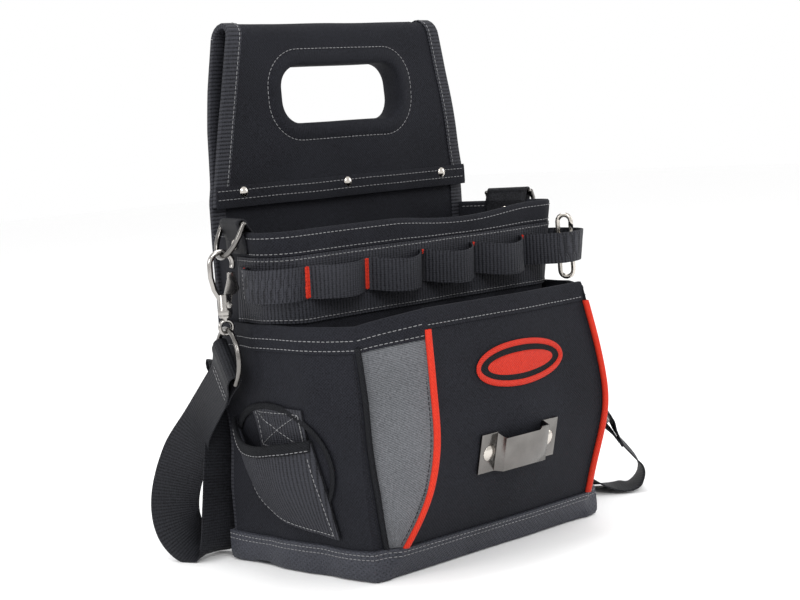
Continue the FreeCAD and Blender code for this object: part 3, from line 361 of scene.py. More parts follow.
def plain_weave(look, u, v):
    product = look.math("MULTIPLY", look.wave(u, 2.3), look.wave(v, 2.3))
    return look.math("ADD", look.math("MULTIPLY", product, 0.5), 0.5)


def twill_weave(look, u, v):
    slant = look.math("ADD", u, look.math("MULTIPLY", v, 1.4))
    return look.math("ADD", look.math("MULTIPLY", look.wave(slant, 2.6), 0.5), 0.5)


def ribs(pitch, grain_pitch, grain):
    """Ribs across the webbing, with a finer grain along them."""
    def pattern(look, u, v):
        rib = look.math("ABSOLUTE", look.wave(u, pitch))
        return look.math("ADD", rib, look.math("MULTIPLY", look.wave(v, grain_pitch), grain))
    return pattern


CROSS_RIBS, NARROW_RIBS = ribs(6.0, 1.7, 0.12), ribs(4.6, 1.9, 0.15)


def diamond_weave(look, u, v):
    one = look.math("ABSOLUTE", look.wave(look.math("ADD", u, v), 7.0))
    two = look.math("ABSOLUTE", look.wave(look.math("SUBTRACT", u, v), 7.0))
    return look.math("MAXIMUM", one, two)


def plated(name, dark, light, roughness):
    look = Look(name, roughness, metallic=1.0)
    haze = look.speckle(60.0, 5.0)
    look.colour(haze, dark, light)
    spread = look.math("ADD", look.math("MULTIPLY", look.speckle(420.0), 0.16), roughness - 0.06)
    look.tree.links.new(spread, look.shader.inputs["Roughness"])
    look.bump(look.speckle(900.0, 2.0), 0.004)
    return look.material


CANVAS = woven("black_canvas", plain_weave, (0.002, 0.002, 0.003), (0.018, 0.019, 0.025), 0.14)
TAPE = woven("black_tape", twill_weave, (0.0015, 0.0015, 0.002), (0.014, 0.015, 0.018), 0.14)
TWILL = woven("grey_twill", twill_weave, (0.045, 0.047, 0.051), (0.150, 0.155, 0.167), 0.14, 0.78)
PIPING = woven("orange_piping", twill_weave, (0.36, 0.014, 0.006), (0.62, 0.036, 0.015), 0.05, 0.55)
TACK_RED = woven("tack_thread", CROSS_RIBS, (0.34, 0.014, 0.006), (0.60, 0.036, 0.015), 0.12, 0.5)
WEBBING = woven("black_webbing", CROSS_RIBS, (0.001, 0.001, 0.0015), (0.031, 0.032, 0.039), 0.45, 0.6, 0.75)
STRAP_WEB = woven("strap_webbing", NARROW_RIBS, (0.0015, 0.0015, 0.002), (0.022, 0.023, 0.028), 0.30, 0.6)
BOOT = woven("boot_vinyl", diamond_weave, (0.0015, 0.0015, 0.002), (0.060, 0.063, 0.078), 0.35, 0.45)
BOARD = woven("board", plain_weave, (0.008, 0.008, 0.008), (0.02, 0.02, 0.02), 0.05)
THREAD = woven("pale_thread", CROSS_RIBS, (0.16, 0.16, 0.165), (0.34, 0.34, 0.35), 0.05, 0.6)
DARK_THREAD = woven("dark_thread", CROSS_RIBS, (0.008, 0.008, 0.010), (0.030, 0.030, 0.034), 0.1)
PATCH = woven("patch_field", twill_weave, (0.32, 0.012, 0.006), (0.56, 0.032, 0.014), 0.16, 0.5)
GUNMETAL = plated("gunmetal", (0.11, 0.105, 0.10), (0.22, 0.21, 0.20), 0.20)
SNAP_STEEL = plated("snap_steel", (0.24, 0.23, 0.22), (0.42, 0.40, 0.38), 0.18)
NICKEL = plated("nickel", (0.48, 0.45, 0.41), (0.66, 0.62, 0.57), 0.18)


# ---- Plan outlines, as in the CAD ----
def offset_path(path, distance):
    moved = []
    for i, (x, d) in enumerate(path):
        before, after = path[max(i - 1, 0)], path[min(i + 1, len(path) - 1)]
        normals = []
        for (x0, d0), (x1, d1) in ((before, (x, d)), ((x, d), after)):
            length = math.hypot(x1 - x0, d1 - d0)
            if length > 0:
                normals.append(((d1 - d0) / length, -(x1 - x0) / length))
        nx = sum(n[0] for n in normals) / len(normals)
        nd = sum(n[1] for n in normals) / len(normals)
        grow = distance / (nx * nx + nd * nd)
        moved.append((x + nx * grow, d + nd * grow))
    return moved


def upper_outline(z):
    part = (z - WALL_BOTTOM) / (UPPER_RIM - WALL_BOTTOM)
    half_back = mix(128, 133, part)
    half_side = mix(118, 154, part)
    depth = mix(90, 100, part)
    left = arc((-half_side + CORNER_RADIUS, depth - CORNER_RADIUS), 180, 90, CORNER_RADIUS, 11)
    right = [(-x, d) for x, d in left[::-1]]
    return [(-half_back, WALL_D)] + left + right + [(half_back, WALL_D)]


def lower_outline(z):
    """The lower pockets' plan: back, two side points, corner, seam and piping on each side."""
    part = clamp((z - WALL_BOTTOM) / (LOWER_RIM - WALL_BOTTOM))
    low = ease(part / 0.36) ** 1.15
    high = max((part - 0.50) / 0.50, 0) ** 1.5
    swell = ease(part / 0.62) - 0.26 * high
    piping = (mix(106, 92, low) - 8 * high, 147.5 + 43.5 * swell)
    left, right = [
        [(135.5, WALL_D), (mix(131.5, 150, part), 60), (mix(126, 149, part), 110),
         (mix(120, top, part), mix(146.5, 149.5, part)),
         (mix(109, top - 1.5, part), mix(149, 152.5, part)), piping]
        for top in (131, 117)
    ]
    middle = (0, piping[1] + 4 * ease(part / 0.58))
    return [(-x, d) for x, d in left] + [middle] + right[::-1]


# Indices in the lower outline, from the left back corner.
CORNER, SEAM, PIPE, RIGHT_PIPE, RIGHT_SEAM, LAST = 3, 4, 5, 7, 8, 12


def counts_for(path, step):
    return [max(1, round(math.hypot(b[0] - a[0], b[1] - a[1]) / step)) for a, b in zip(path, path[1:])]


def along(path, counts):
    points = []
    for (x0, d0), (x1, d1), n in zip(path, path[1:], counts):
        points += [(mix(x0, x1, k / n), mix(d0, d1, k / n)) for k in range(n)]
    return points + [path[-1]]


def rim_share(z):
    """How much of a rim's climb a place at this height takes part in."""
    return clamp((z - 130) / 50)


def cut(path, first, last):
    return path[first:len(path) if last is None else last + 1]


def outline_piece(name, outline, loop, look, nodes, first=0, last=None, climb=(0, 0)):
    """A piece that follows a plan outline; loop gives its section as (inward offset, z) pairs.

    climb is how much higher the rim is at the piece's first and last ends.
    """
    counts = counts_for(cut(outline(loop[0][1]), first, last), CLOTH_STEP)
    lines = [along(cut(offset_path(outline(z), offset), first, last), counts) for offset, z in loop]
    columns = list(zip(*lines))
    sections = []
    for column, lift in zip(columns, spread(*climb, len(columns) - 1)):
        sections.append([at(x, d, z + lift * rim_share(z)) for (x, d), (_, z) in zip(column, loop)])
    return loft(name, sections, look, nodes)


def sheet_loop(low, high, step):
    heights = spread(low, high, max(2, round((high - low) / step)))
    return [(0, z) for z in heights] + [(FABRIC, z) for z in heights[::-1]]


def outline_line(outline, z, offset, first=0, last=None, climb=(0, 0)):
    """Points along an outline at one height, to sew along."""
    path = cut(offset_path(outline(z), offset), first, last)
    places = along(path, counts_for(path, STITCH_STEP))
    lifts = spread(*climb, len(places) - 1)
    return [at(x, d, z + lift * rim_share(z)) for (x, d), lift in zip(places, lifts)]


# ---- Stitches ----
STITCH_GROUPS = {}


def sew(line, look=THREAD, pitch=3.8, length=2.8, radius=0.30, soft=True, body="bag"):
    """Adds a row of stitches along a line of points that lies on the cloth's face."""
    points = [sag(p) for p in line] if soft else line
    run = [0]
    for a, b in zip(points, points[1:]):
        run.append(run[-1] + (b - a).length)

    def place(s):
        k = max(i for i in range(len(run) - 1) if run[i] <= s or i == 0)
        part = (s - run[k]) / max(run[k + 1] - run[k], 1e-6)
        return points[k].lerp(points[k + 1], min(part, 1))

    verts, faces = STITCH_GROUPS.setdefault((look.name, body), ([], []))
    total = int(run[-1] / pitch)
    for n in range(total):
        start = place(n * pitch + 0.3)
        end = place(n * pitch + 0.3 + length)
        way = (end - start).normalized()
        side = way.cross(Vector((0.3, 0.5, 0.8))).normalized()
        other = way.cross(side)
        base = len(verts)
        for part, size in ((0, 0.35), (0.2, 1), (0.8, 1), (1, 0.35)):
            centre = start.lerp(end, part)
            for a in range(6):
                turn = math.pi * a / 3
                verts.append(centre + (side * math.cos(turn) + other * math.sin(turn)) * radius * size)
        for ring in range(3):
            for a in range(6):
                b = (a + 1) % 6
                low, high = base + ring * 6, base + ring * 6 + 6
                faces.append((low + a, low + b, high + b, high + a))
        faces.append(tuple(base + a for a in range(6)))
        faces.append(tuple(base + 18 + a for a in range(6)))


def make_stitches():
    for (look_name, body), (verts, faces) in STITCH_GROUPS.items():
        uvs = [(0.0, 0.0)] * sum(len(face) for face in faces)
        look = bpy.data.materials[look_name]
        finish_mesh(f"stitches_{look_name}_{body}", verts, faces, uvs, look, body, ())


# ---- Back panel and carrying handle ----
class Profile:
    """A ply's section: its outer face as a line in (d, z), and offsets along its normal."""

    def __init__(self, points, outward):
        self.points = points
        self.outward = outward
        self.run = [0]
        for a, b in zip(points, points[1:]):
            self.run.append(self.run[-1] + math.dist(a, b))
        self.length = self.run[-1]

    def normal(self, k):
        a, b = self.points[max(k - 1, 0)], self.points[min(k + 1, len(self.points) - 1)]
        length = math.dist(a, b)
        return (self.outward * (b[1] - a[1]) / length, -self.outward * (b[0] - a[0]) / length)

    def at(self, h, grow=0):
        k = max(i for i in range(len(self.run) - 1) if self.run[i] <= h or i == 0)
        part = clamp((h - self.run[k]) / (self.run[k + 1] - self.run[k]))
        (d0, z0), (d1, z1) = self.points[k], self.points[k + 1]
        (n0, m0), (n1, m1) = self.normal(k), self.normal(k + 1)
        return mix(d0, d1, part) + mix(n0, n1, part) * grow, mix(z0, z1, part) + mix(m0, m1, part) * grow

    def point(self, x, h, grow=0):
        d, z = self.at(h, grow)
        return at(x, d, z)

    def height_of(self, z):
        return next(mix(self.run[k], self.run[k + 1], (z - a[1]) / (b[1] - a[1]))
                    for k, (a, b) in enumerate(zip(self.points, self.points[1:])) if a[1] <= z <= b[1])

    def half(self, h):
        """The panel's half width at a height along the profile."""
        taper = (self.at(h)[1] - TAPER_Z) / (HEIGHT - TAPER_Z)
        return mix(PANEL_HALF, PANEL_TOP_HALF, max(taper, 0))


FRONT_PLY = Profile([(7.4, HEM_BOTTOM), (7.4, 293.5), (8.2, 308), (9.2, 326), (10, 360)]
                    + arc((FOLD_D, FOLD_Z), 0, 178, FOLD_RADIUS, 25), 1)
REAR_PLY = Profile([(0, 5.4), (0, 292), (-3.4, 312), (-7, 334), (-10, 366),
                    (FOLD_D - FOLD_RADIUS, FOLD_Z)], -1)


def slot_reach(angle, grow):
    """How far the hand slot's edge is from its middle in a direction, grown by some amount."""
    cx, cz = math.cos(angle), math.sin(angle)
    low, high = 10, 120
    for _ in range(24):
        reach = (low + high) / 2
        x = max(abs(cx * reach) - SLOT_HALF_X + SLOT_RADIUS, 0)
        z = max(abs(cz * reach) - SLOT_HALF_Z + SLOT_RADIUS, 0)
        if math.hypot(x, z) < SLOT_RADIUS + grow:
            low = reach
        else:
            high = reach
    return low


def edge_reach(profile, angle, middle, bottom, top):
    cx, ch = math.cos(angle), math.sin(angle)
    low, high = 10, 400
    for _ in range(26):
        reach = (low + high) / 2
        h = middle + ch * reach
        inside = bottom <= h <= top and abs(cx * reach) <= profile.half(min(max(h, 0), top))
        low, high = (reach, high) if inside else (low, reach)
    return low


def slotted_ply(name, profile, bottom, top, nodes):
    """A ply round the hand slot, between two heights along its profile."""
    middle = profile.height_of(SLOT_Z)
    corners = []
    for h in (bottom, top):
        half = profile.half(h)
        corners += [math.atan2(h - middle, half), math.atan2(h - middle, -half)]
    angles = sorted([angle - math.pi for angle in turns(132)] + corners)
    sections, uvs = [], []
    for angle in angles:
        inner = slot_reach(angle, 1)
        outer = edge_reach(profile, angle, middle, bottom, top)
        loop, flat = [], []
        steps = spread(inner, outer, 11)
        for grow, reaches in ((0, steps), (-PLY, steps[::-1])):
            for reach in reaches:
                x, h = math.cos(angle) * reach, middle + math.sin(angle) * reach
                loop.append(profile.point(x, h, grow))
                flat.append((x, h))
        sections.append(loop)
        uvs.append(flat)
    return loft(name, sections, CANVAS, nodes, ring=True, uv=uvs)


def slot_lining():
    """The rolled edge that joins the two plies inside the hand slot."""
    sections = []
    for angle in turns(144):
        loop = []
        cx, cz = math.cos(angle), math.sin(angle)
        z_here = SLOT_Z + cz * slot_reach(angle, 0)
        front = FRONT_PLY.at(FRONT_PLY.height_of(z_here))[0]
        rear = REAR_PLY.at(REAR_PLY.height_of(z_here))[0]
        lip = [(12.5, 0.1), (10.5, 1.1), (7.5, 2), (4, 2.2), (1.3, 1.4), (0, -0.6)]
        inside = [(-0.5, mix(front, rear, part)) for part in (0.25, 0.5, 0.75)]
        shape = [(o, front + rise) for o, rise in lip] + inside
        shape += [(o, rear - rise) for o, rise in lip[::-1]]
        shape += [(1, rear + 0.5), (1, front - 0.5)]
        for o, d in shape:
            reach = slot_reach(angle, o)
            loop.append(at(cx * reach, d, SLOT_Z + cz * reach))
        sections.append(loop)
    loft("hand_slot_roll", sections, CANVAS, ("hand_slot_lining",), ring=True, sharp=70)
    for profile in (FRONT_PLY, REAR_PLY):
        line = []
        for angle in spread(0, 2 * math.pi, 180):
            reach = slot_reach(angle, SLOT_STITCHES)
            h = min(profile.height_of(SLOT_Z) + math.sin(angle) * reach, profile.length)
            line.append(profile.point(math.cos(angle) * reach, h, 0.25))
        sew(line)


def edge_binding(profile, side, bottom, node):
    """Folded tape over a ply's side edge, with a row of stitches on its face."""
    shape = [(12, 0.9), (6, 1.15), (0.4, 1), (-0.7, 0.5), (-0.9, -1.3), (-0.7, -3.1), (0.4, -3.6),
             (6, -3.7), (12, -3.5), (12, -2.75), (0.3, -2.7), (0.1, -1.3), (0.3, 0.1), (12, 0.15)]
    rows = round((profile.length - bottom) / 4)

    def strip(places, low, high):
        return [[profile.point(side * (profile.half(h) - inward), h, grow) for inward, grow in places]
                for h in spread(low, high, rows)]

    loft(f"{node}_tape", strip(shape, bottom, profile.length), WEBBING, (node,))
    sew([point for (point,) in strip([(9.8, 1.15)], bottom + 3, profile.length - 2)])


def handle():
    slotted_ply("handle_face", FRONT_PLY, 0, FRONT_PLY.length, ("handle_front_ply",))
    split = REAR_PLY.height_of(288)
    slotted_ply("panel_top", REAR_PLY, split, REAR_PLY.length, ())
    heights = spread(0, split, 46)
    sections = []
    for x in spread(-PANEL_HALF, PANEL_HALF, 40):
        outer, inner = [[REAR_PLY.point(x * REAR_PLY.half(h) / PANEL_HALF, h, grow) for h in heights]
                        for grow in (0, -PLY)]
        sections.append(outer + inner[::-1])
    loft("panel_sheet", sections, CANVAS, ("back_panel",))
    slot_lining()
    for side, word in ((-1, "left"), (1, "right")):
        edge_binding(REAR_PLY, side, 18, f"panel_binding_{word}")
        edge_binding(FRONT_PLY, side, 0, f"handle_binding_{word}")

    def lift(x):
        """How far the hem steps out over the bindings."""
        return 0.5 * max((abs(x) - 119) / 16, 0)

    shape = [(7.9, HEM_BOTTOM - 0.6), (8.7, HEM_BOTTOM - 0.9), (9.1, HEM_BOTTOM + 1.5), (9.15, 284),
             (9.1, HEM_TOP - 1), (8.6, HEM_TOP + 0.6), (7.9, HEM_TOP)]
    sections = [[at(x, d + lift(x), z) for d, z in shape] for x in spread(-133.8, 133.8, 72)]
    loft("handle_hem_tape", sections, CANVAS, ("handle_hem",))
    for z in (281.5, 288.2):
        sew([at(x, 9.35 + lift(x), z) for x in spread(-133, 133, 90)])
    from_cad("handle_rivets", NICKEL)


# ---- Upper compartment ----
def upper_compartment():
    outline_piece("upper_walls", upper_outline, sheet_loop(WALL_BOTTOM, UPPER_RIM, 9), CANVAS,
                  ("upper_wall_left", "upper_wall_front", "upper_wall_right"))
    loop = [(-0.2, 241), (-1.2, 241), (-1.35, 246), (-1.45, 252), (-1.2, 257.4), (0, 258.9),
            (2, 259), (3.5, 257.4), (3.7, 250), (3.4, 241), (2.4, 241), (2.4, 250),
            (2.3, 257.1), (-0.15, 257.1)]
    outline_piece("upper_hem", upper_outline, loop, CANVAS, ("upper_rim_hem",))
    for z, offset in ((243, -1.5), (254.8, -1.65)):
        sew(outline_line(upper_outline, z, offset))
        sew(outline_line(upper_outline, z, 3.95))
    sections = []
    rows = spread(0, 1, 24)
    for part in spread(0, 1, 43):
        loop = []
        for side, order in ((0, rows), (FABRIC, rows[::-1])):
            for row in order:
                bow = 5 * math.sin(math.pi * part) * row
                x = mix(-1, 1, part) * mix(108, 126, row)
                loop.append(at(x, mix(40, 46, row) + bow * 0.3 + side, mix(WALL_BOTTOM, 225, row)))
        sections.append(loop)
    loft("divider_sheet", sections, CANVAS, ("inner_divider",))


def on_upper(z, distance, offset):
    """A point at an arc length from the upper compartment's middle, and standing off its face."""
    path = upper_outline(z)
    steps = [math.hypot(b[0] - a[0], b[1] - a[1]) for a, b in zip(path, path[1:])]
    left = sum(steps) / 2 + distance
    for k, step in enumerate(steps):
        if left <= step or k == len(steps) - 1:
            a, b = path[k], path[k + 1]
            way = ((b[0] - a[0]) / step, (b[1] - a[1]) / step)
            part = left / step
            return at(mix(a[0], b[0], part) - way[1] * offset, mix(a[1], b[1], part) + way[0] * offset, z)
        left -= step


def belt_of(name, stations, offsets, low, high, thick, nodes, droops=None):
    """Webbing round the compartment. Its weave follows the distance along it."""
    sections, flat = [], []
    run = 0
    heights = spread(low, high, 6)
    for k, (station, offset) in enumerate(zip(stations, offsets)):
        droop = Vector((0, 0, -droops[k])) if droops else Vector()
        outer = [on_upper(z, station, offset + thick) + droop for z in heights]
        inner = [on_upper(z, station, offset) + droop for z in heights[::-1]]
        if sections:
            run += (outer[0] - sections[-1][0]).length
        sections.append(outer + inner)
        flat.append([(run, p.z) for p in sections[-1]])
    loft(name, sections, WEBBING, nodes, uv=flat)


def loop_rise(station):
    """A tool loop's own number, and how far round its arch a place along the webbing is, 0 to 1."""
    for number, (start, end) in enumerate(zip(TACKS, TACKS[1:])):
        if start <= station <= end:
            part = (station - start) / (end - start)
            return number, math.sin(math.pi * clamp((part - 0.04) / 0.92)) ** 0.8
    return 0, 0


def tool_loops():
    stations = spread(-196, 196, 130)
    belt_of("loop_band", stations, [0.6] * 131, 190.5, 240.5, 1.5, ("loop_backing_band",))
    for z in (193, 238):
        sew([on_upper(z, station, 2.35) for station in stations])
    stations = spread(-190, 188, 300)
    arches = [loop_rise(station) for station in stations]
    offsets = [2.4 + BULGES[number] * rise for number, rise in arches]
    droops = [DROOPS[number] * rise for number, rise in arches]
    low, high = LOOP_BOTTOM, LOOP_BOTTOM + LOOP_HEIGHT
    belt_of("tool_loops", stations, offsets, low, high, 1.7, ("tool_loop_webbing",), droops)
    shape = ((-2, 4.15), (-1.4, 4.7), (1.4, 4.7), (2, 4.15))
    for k, tack in enumerate(TACKS):
        red = k in (1, 2)
        line = []
        for step, z in enumerate(spread(low + 0.8, high - 0.8, 32)):
            line.append(on_upper(z, tack + (1.5 if step % 2 else -1.5), 4.5))
        sew(line, TACK_RED if red else DARK_THREAD, pitch=3, length=2.9, radius=0.55)
        for side in (-4.5, 4.5):
            line = [on_upper(z, tack + side, 4.6) for z in spread(low + 0.8, high - 0.8, 12)]
            sew(line, pitch=3.4, length=2.4)
        if not red:
            top = [on_upper(high - s * 0.8, tack + (1.4 if s % 2 else -1.4), 4.6) for s in range(6)]
            sew(top, TACK_RED, pitch=2.6, length=2.5, radius=0.5)
        look, slot = (TACK_RED, "bar_tack_thread") if red else (TAPE, "black_tape")
        bar = [[on_upper(z, tack + s, o) for s, o in shape] for z in spread(low + 1, high - 1, 12)]
        loft(f"tack_bar_{k}", bar, look, ("bar_tacks",) if k == 1 else ())


# ---- Lower pockets ----
def lower_pockets():
    rise = FRONT_RIM - LOWER_RIM
    gusset_top = LOWER_RIM - 14  # the hem closes the gussets above this
    walls = (("side_pocket_left", "left_side_pocket", 0, SEAM, LOWER_RIM, (0, 0)),
             ("gusset_left", "left_gusset", SEAM, PIPE, gusset_top, (0, rise)),
             ("front_pocket", "front_pocket_panel", PIPE, RIGHT_PIPE, FRONT_RIM, (0, 0)),
             ("gusset_right", "right_gusset", RIGHT_PIPE, RIGHT_SEAM, gusset_top, (rise, 0)),
             ("side_pocket_right", "right_side_pocket", RIGHT_SEAM, LAST, LOWER_RIM, (0, 0)))
    for name, node, first, last, top, climb in walls:
        look, slot = (TWILL, "grey_twill") if "gusset" in name else (CANVAS, "black_canvas")
        loop = sheet_loop(WALL_BOTTOM, top, CLOTH_STEP)
        outline_piece(name, lower_outline, loop, look, (node,), first, last, climb)
    hems = (("left_side_hem", True, LOWER_RIM, 0, SEAM, (0, 0)),
            ("left_gusset_hem", False, LOWER_RIM, SEAM, PIPE, (0, rise)),
            ("right_gusset_hem", False, LOWER_RIM, RIGHT_PIPE, RIGHT_SEAM, (rise, 0)),
            ("right_side_hem", True, LOWER_RIM, RIGHT_SEAM, LAST, (0, 0)),
            ("front_pocket_hem", True, FRONT_RIM, PIPE, RIGHT_PIPE, (0, 0)))
    for word, has_node, rim, first, last, climb in hems:
        depth, rows = (18, (16, 9)) if rim == LOWER_RIM else (13, (10.5,))
        low = rim - depth
        hem = [(-0.15, low), (-1.1, low - 0.3), (-1.35, low + 4), (-1.35, rim - 4), (-1.2, rim),
               (-0.6, rim + 1.3), (1.2, rim + 1.5), (2.6, rim + 1.2), (3.1, rim - 0.5), (3.1, low + 2),
               (2.3, low + 2), (2.3, rim + 0.1), (-0.15, rim + 0.1)]
        nodes = (word,) if has_node else ()
        outline_piece(word + "_tape", lower_outline, hem, CANVAS, nodes, first, last, climb)
        for down in rows:
            sew(outline_line(lower_outline, rim - down, -1.6, first, last, climb))
    for index, word in ((SEAM, "left_corner_seam"), (RIGHT_SEAM, "right_corner_seam")):
        pipe(word + "_welt", index, 2.1, 174.5, TAPE, word)
    for index, word in ((PIPE, "left_piping"), (RIGHT_PIPE, "right_piping")):
        pipe(word + "_cord", index, 2.6, 183.5, PIPING, word)
    for index, towards, away in ((SEAM, -1, 4.5), (RIGHT_SEAM, 1, 4.5), (PIPE, -1, 4), (PIPE, 1, 4.2),
                                 (RIGHT_PIPE, -1, 4.2)):
        line = []
        for z in spread(BOOT_HEIGHT + 2, 172, 59):
            path = offset_path(lower_outline(z), -0.3)
            a, b = path[index], path[index + towards]
            part = away / math.dist(a, b)
            line.append(at(mix(a[0], b[0], part), mix(a[1], b[1], part), z))
        sew(line, DARK_THREAD)


def pipe(name, index, radius, top, look, node):
    """A round cord up a corner of the lower outline."""
    sections = []
    for z in spread(BOOT_HEIGHT + 0.5, top, 46):
        x, d = offset_path(lower_outline(z), -0.75 * radius)[index]
        sections.append([at(x, d, z) + Vector((math.cos(a), math.sin(a), 0)) * radius for a in turns(12)])
    loft(name, sections, look, (node,), sharp=80)


def base():
    """The coated boot round the bag's foot, turned under it, and the stiff board inside."""
    loop = [(1.6, 24), (-0.5, 24.6), (-2.4, 24), (-2.7, 17), (-2.7, 9), (-2.4, 4), (-1.2, 1.2),
            (1.5, 0.1)]
    inner = [(4, 2), (-0.3, 3), (-0.35, 12), (-0.1, 23)]

    def ring_at(offset, z):
        path = offset_path(lower_outline(max(z, WALL_BOTTOM)), offset)
        side = abs(path[0][0])
        path = [(-side, -1.1 + offset)] + path + [(side, -1.1 + offset)]
        counts = counts_for([(-135.5, 0)] + lower_outline(12) + [(135.5, 0)], 7)
        points = along(path, counts)
        rear = [(x, -1.1 + offset) for x in spread(side, -side, 38)[1:-1]]
        return [at(x, d, z) for x, d in points + rear]

    lines = [ring_at(o, z) for o, z in loop]
    middle = at(0, 75, 0)
    for shrink, z in ((0.85, 0.1), (0.5, 0.1), (0.02, 0.1), (0.02, 2), (0.5, 2), (0.85, 2)):
        lines.append([Vector((mix(middle.x, p.x, shrink), mix(middle.y, p.y, shrink), z))
                      for p in lines[len(loop) - 1]])
    lines += [ring_at(o, z) for o, z in inner]
    sections = [list(column) for column in zip(*lines)]
    loft("base_boot_cloth", sections, BOOT, ("base_boot",), ring=True)
    for z, offset in ((21.6, -2.85), (18.2, -2.95)):
        sew(ring_at(offset, z))
    from_cad("base_board", BOARD)


# ---- Side sleeve ----
def left_wall_x(d, z):
    path = lower_outline(z)[:CORNER + 1]
    for (x0, d0), (x1, d1) in zip(path, path[1:]):
        if d <= d1:
            return mix(x0, x1, (d - d0) / (d1 - d0))
    return path[-1][0]


def sleeve_mouth(part):
    return 92 + 22 * math.exp(-part / 0.13) + 12 * part


def sleeve_foot(part):
    return 31 + 76 * math.exp(-part / 0.22)


def sleeve_height(part):
    return sleeve_mouth(part) - sleeve_foot(part)


def sleeve_face(part, row, grow=0):
    """A point of the sleeve's outer face: part runs forward, row runs up to the mouth."""
    z = mix(sleeve_foot(part), sleeve_mouth(part), row)
    d = mix(16, 122 - 0.16 * (z - 31), part)
    off = 1.4 + 13 * math.sin(math.pi * part) ** 0.6 * ease(row / 0.8) + 1.8 + grow
    return at(left_wall_x(d, z) - off, d, z)


def side_sleeve():
    steps = spread(0, 1, 48)
    rows = spread(0, 1, 16)
    sections = []
    for part in steps:
        outer = [sleeve_face(part, row) for row in rows]
        sections.append(outer + [sleeve_face(part, row, -1.8) for row in rows[::-1]])
    flat = [[(p.y, p.z) for p in section] for section in sections]
    loft("side_sleeve_cloth", sections, WEBBING, ("side_sleeve",), uv=flat)
    sections = []
    for part in steps:
        top = sleeve_face(part, 1)
        reach = min(7, sleeve_height(part) * 0.8)
        shape = [(0.15, -reach), (1, -reach + 0.3), (1.2, -2.5), (0.9, 0.9), (-0.4, 1.8), (-2, 1.3),
                 (-2.7, 0.2), (-2.7, -reach * 0.8), (-1.9, -reach * 0.8), (-1.85, 0.1), (0.12, 0.1)]
        sections.append([top + Vector((-o, 0, z)) for o, z in shape])
    loft("side_sleeve_edge", sections, TAPE, ("side_sleeve_binding",), sharp=60)
    sew([sleeve_face(p, 1) + Vector((-1.4, 0, -min(5.6, sleeve_height(p) * 0.6))) for p in steps])
    sew([sleeve_face(p, 0.04, 0.35) for p in steps])
    sew([sleeve_face(0.96, 0.04 + 0.86 * p, 0.35) for p in steps])
    sleeve_back()


def sleeve_back():
    """The bound edge round the sleeve's backing, and the webbing sewn on it with a boxed cross."""
    sections = []
    for degrees in spread(-50, 150, 60):
        angle = math.radians(degrees)
        up, forward = 45 * math.sin(angle), 56 * math.cos(angle)
        d, z = 68 + forward, 84 + up
        out = Vector((0, -forward, up)).normalized()
        wall = at(left_wall_x(d, z) - 1.5, d, z)
        sections.append([wall + out * (2.6 * math.cos(a)) - Vector((1.1 * math.sin(a), 0, 0))
                         for a in turns(10)])
    loft("sleeve_back_edge", sections, TAPE, (), sharp=80)
    sections = []
    heights = spread(66, 128, 14)
    for d in spread(46, 106, 24):
        outer = [at(left_wall_x(d, z) - 2, d, z) for z in heights]
        inner = [at(left_wall_x(d, z) - 0.35, d, z) for z in heights[::-1]]
        sections.append(outer + inner)
    loft("side_patch_webbing", sections, WEBBING, ("side_webbing_patch",))

    def face(d, z):
        return at(left_wall_x(d, z) - 2.25, d, z)

    corners = [(50, 98), (102, 98), (102, 124), (50, 124), (50, 98), (102, 124), (102, 98), (50, 124)]
    for (d0, z0), (d1, z1) in zip(corners, corners[1:]):
        sew([face(d, z) for d, z in zip(spread(d0, d1, 20), spread(z0, z1, 20))])


# ---- Front: emblem and tape clip ----
def front_face_d(x, z):
    path = lower_outline(z)
    middle, side = path[PIPE + 1], path[RIGHT_PIPE]
    return mix(middle[1], side[1], min(abs(x) / side[0], 1))


def on_oval(angle, half_x, half_z, rise, size=1):
    """A point of an oval round the emblem's middle, standing off the pocket's face."""
    x, z = half_x * size * math.cos(angle), EMBLEM_Z + half_z * size * math.sin(angle)
    return at(x, front_face_d(x, z) + rise, z)


def emblem():
    """A plain oval patch with an overlocked border and no lettering."""
    sizes = [max(k / 8, 0.02) for k in range(9)]
    sections = []
    for a in turns(72):
        top = [on_oval(a, 44.5, 14.5, 0.75 + 0.5 * (1 - size ** 4), size) for size in sizes]
        sections.append(top + [p + Vector((0, 0.6, 0)) for p in top[::-1]])
    flat = [[(p.x, p.z) for p in section] for section in sections]
    loft("emblem_field", sections, TAPE, (), ring=True, uv=flat, sharp=70)
    sections = []
    for a in turns(144):
        centre = on_oval(a, 44.6, 14.6, 1)
        out = Vector((math.cos(a) * 14.6, 0, math.sin(a) * 44.6)).normalized()
        sections.append([centre + out * (2.3 * math.cos(b)) - Vector((0, 1.1 * math.sin(b), 0))
                         for b in turns(8)])
    loft("emblem_border", sections, PATCH, ("emblem_patch",), ring=True, sharp=80)
    shape = ((0.02, 2.1), (0.4, 2.1), (0.8, 1.9), (1, 1.2), (1, 0.9), (0.02, 0.9))
    sections = [[on_oval(a, 35, 8, rise, size) for size, rise in shape] for a in turns(72)]
    flat = [[(p.z, p.x) for p in section] for section in sections]
    loft("emblem_middle", sections, PATCH, (), ring=True, uv=flat, sharp=70)


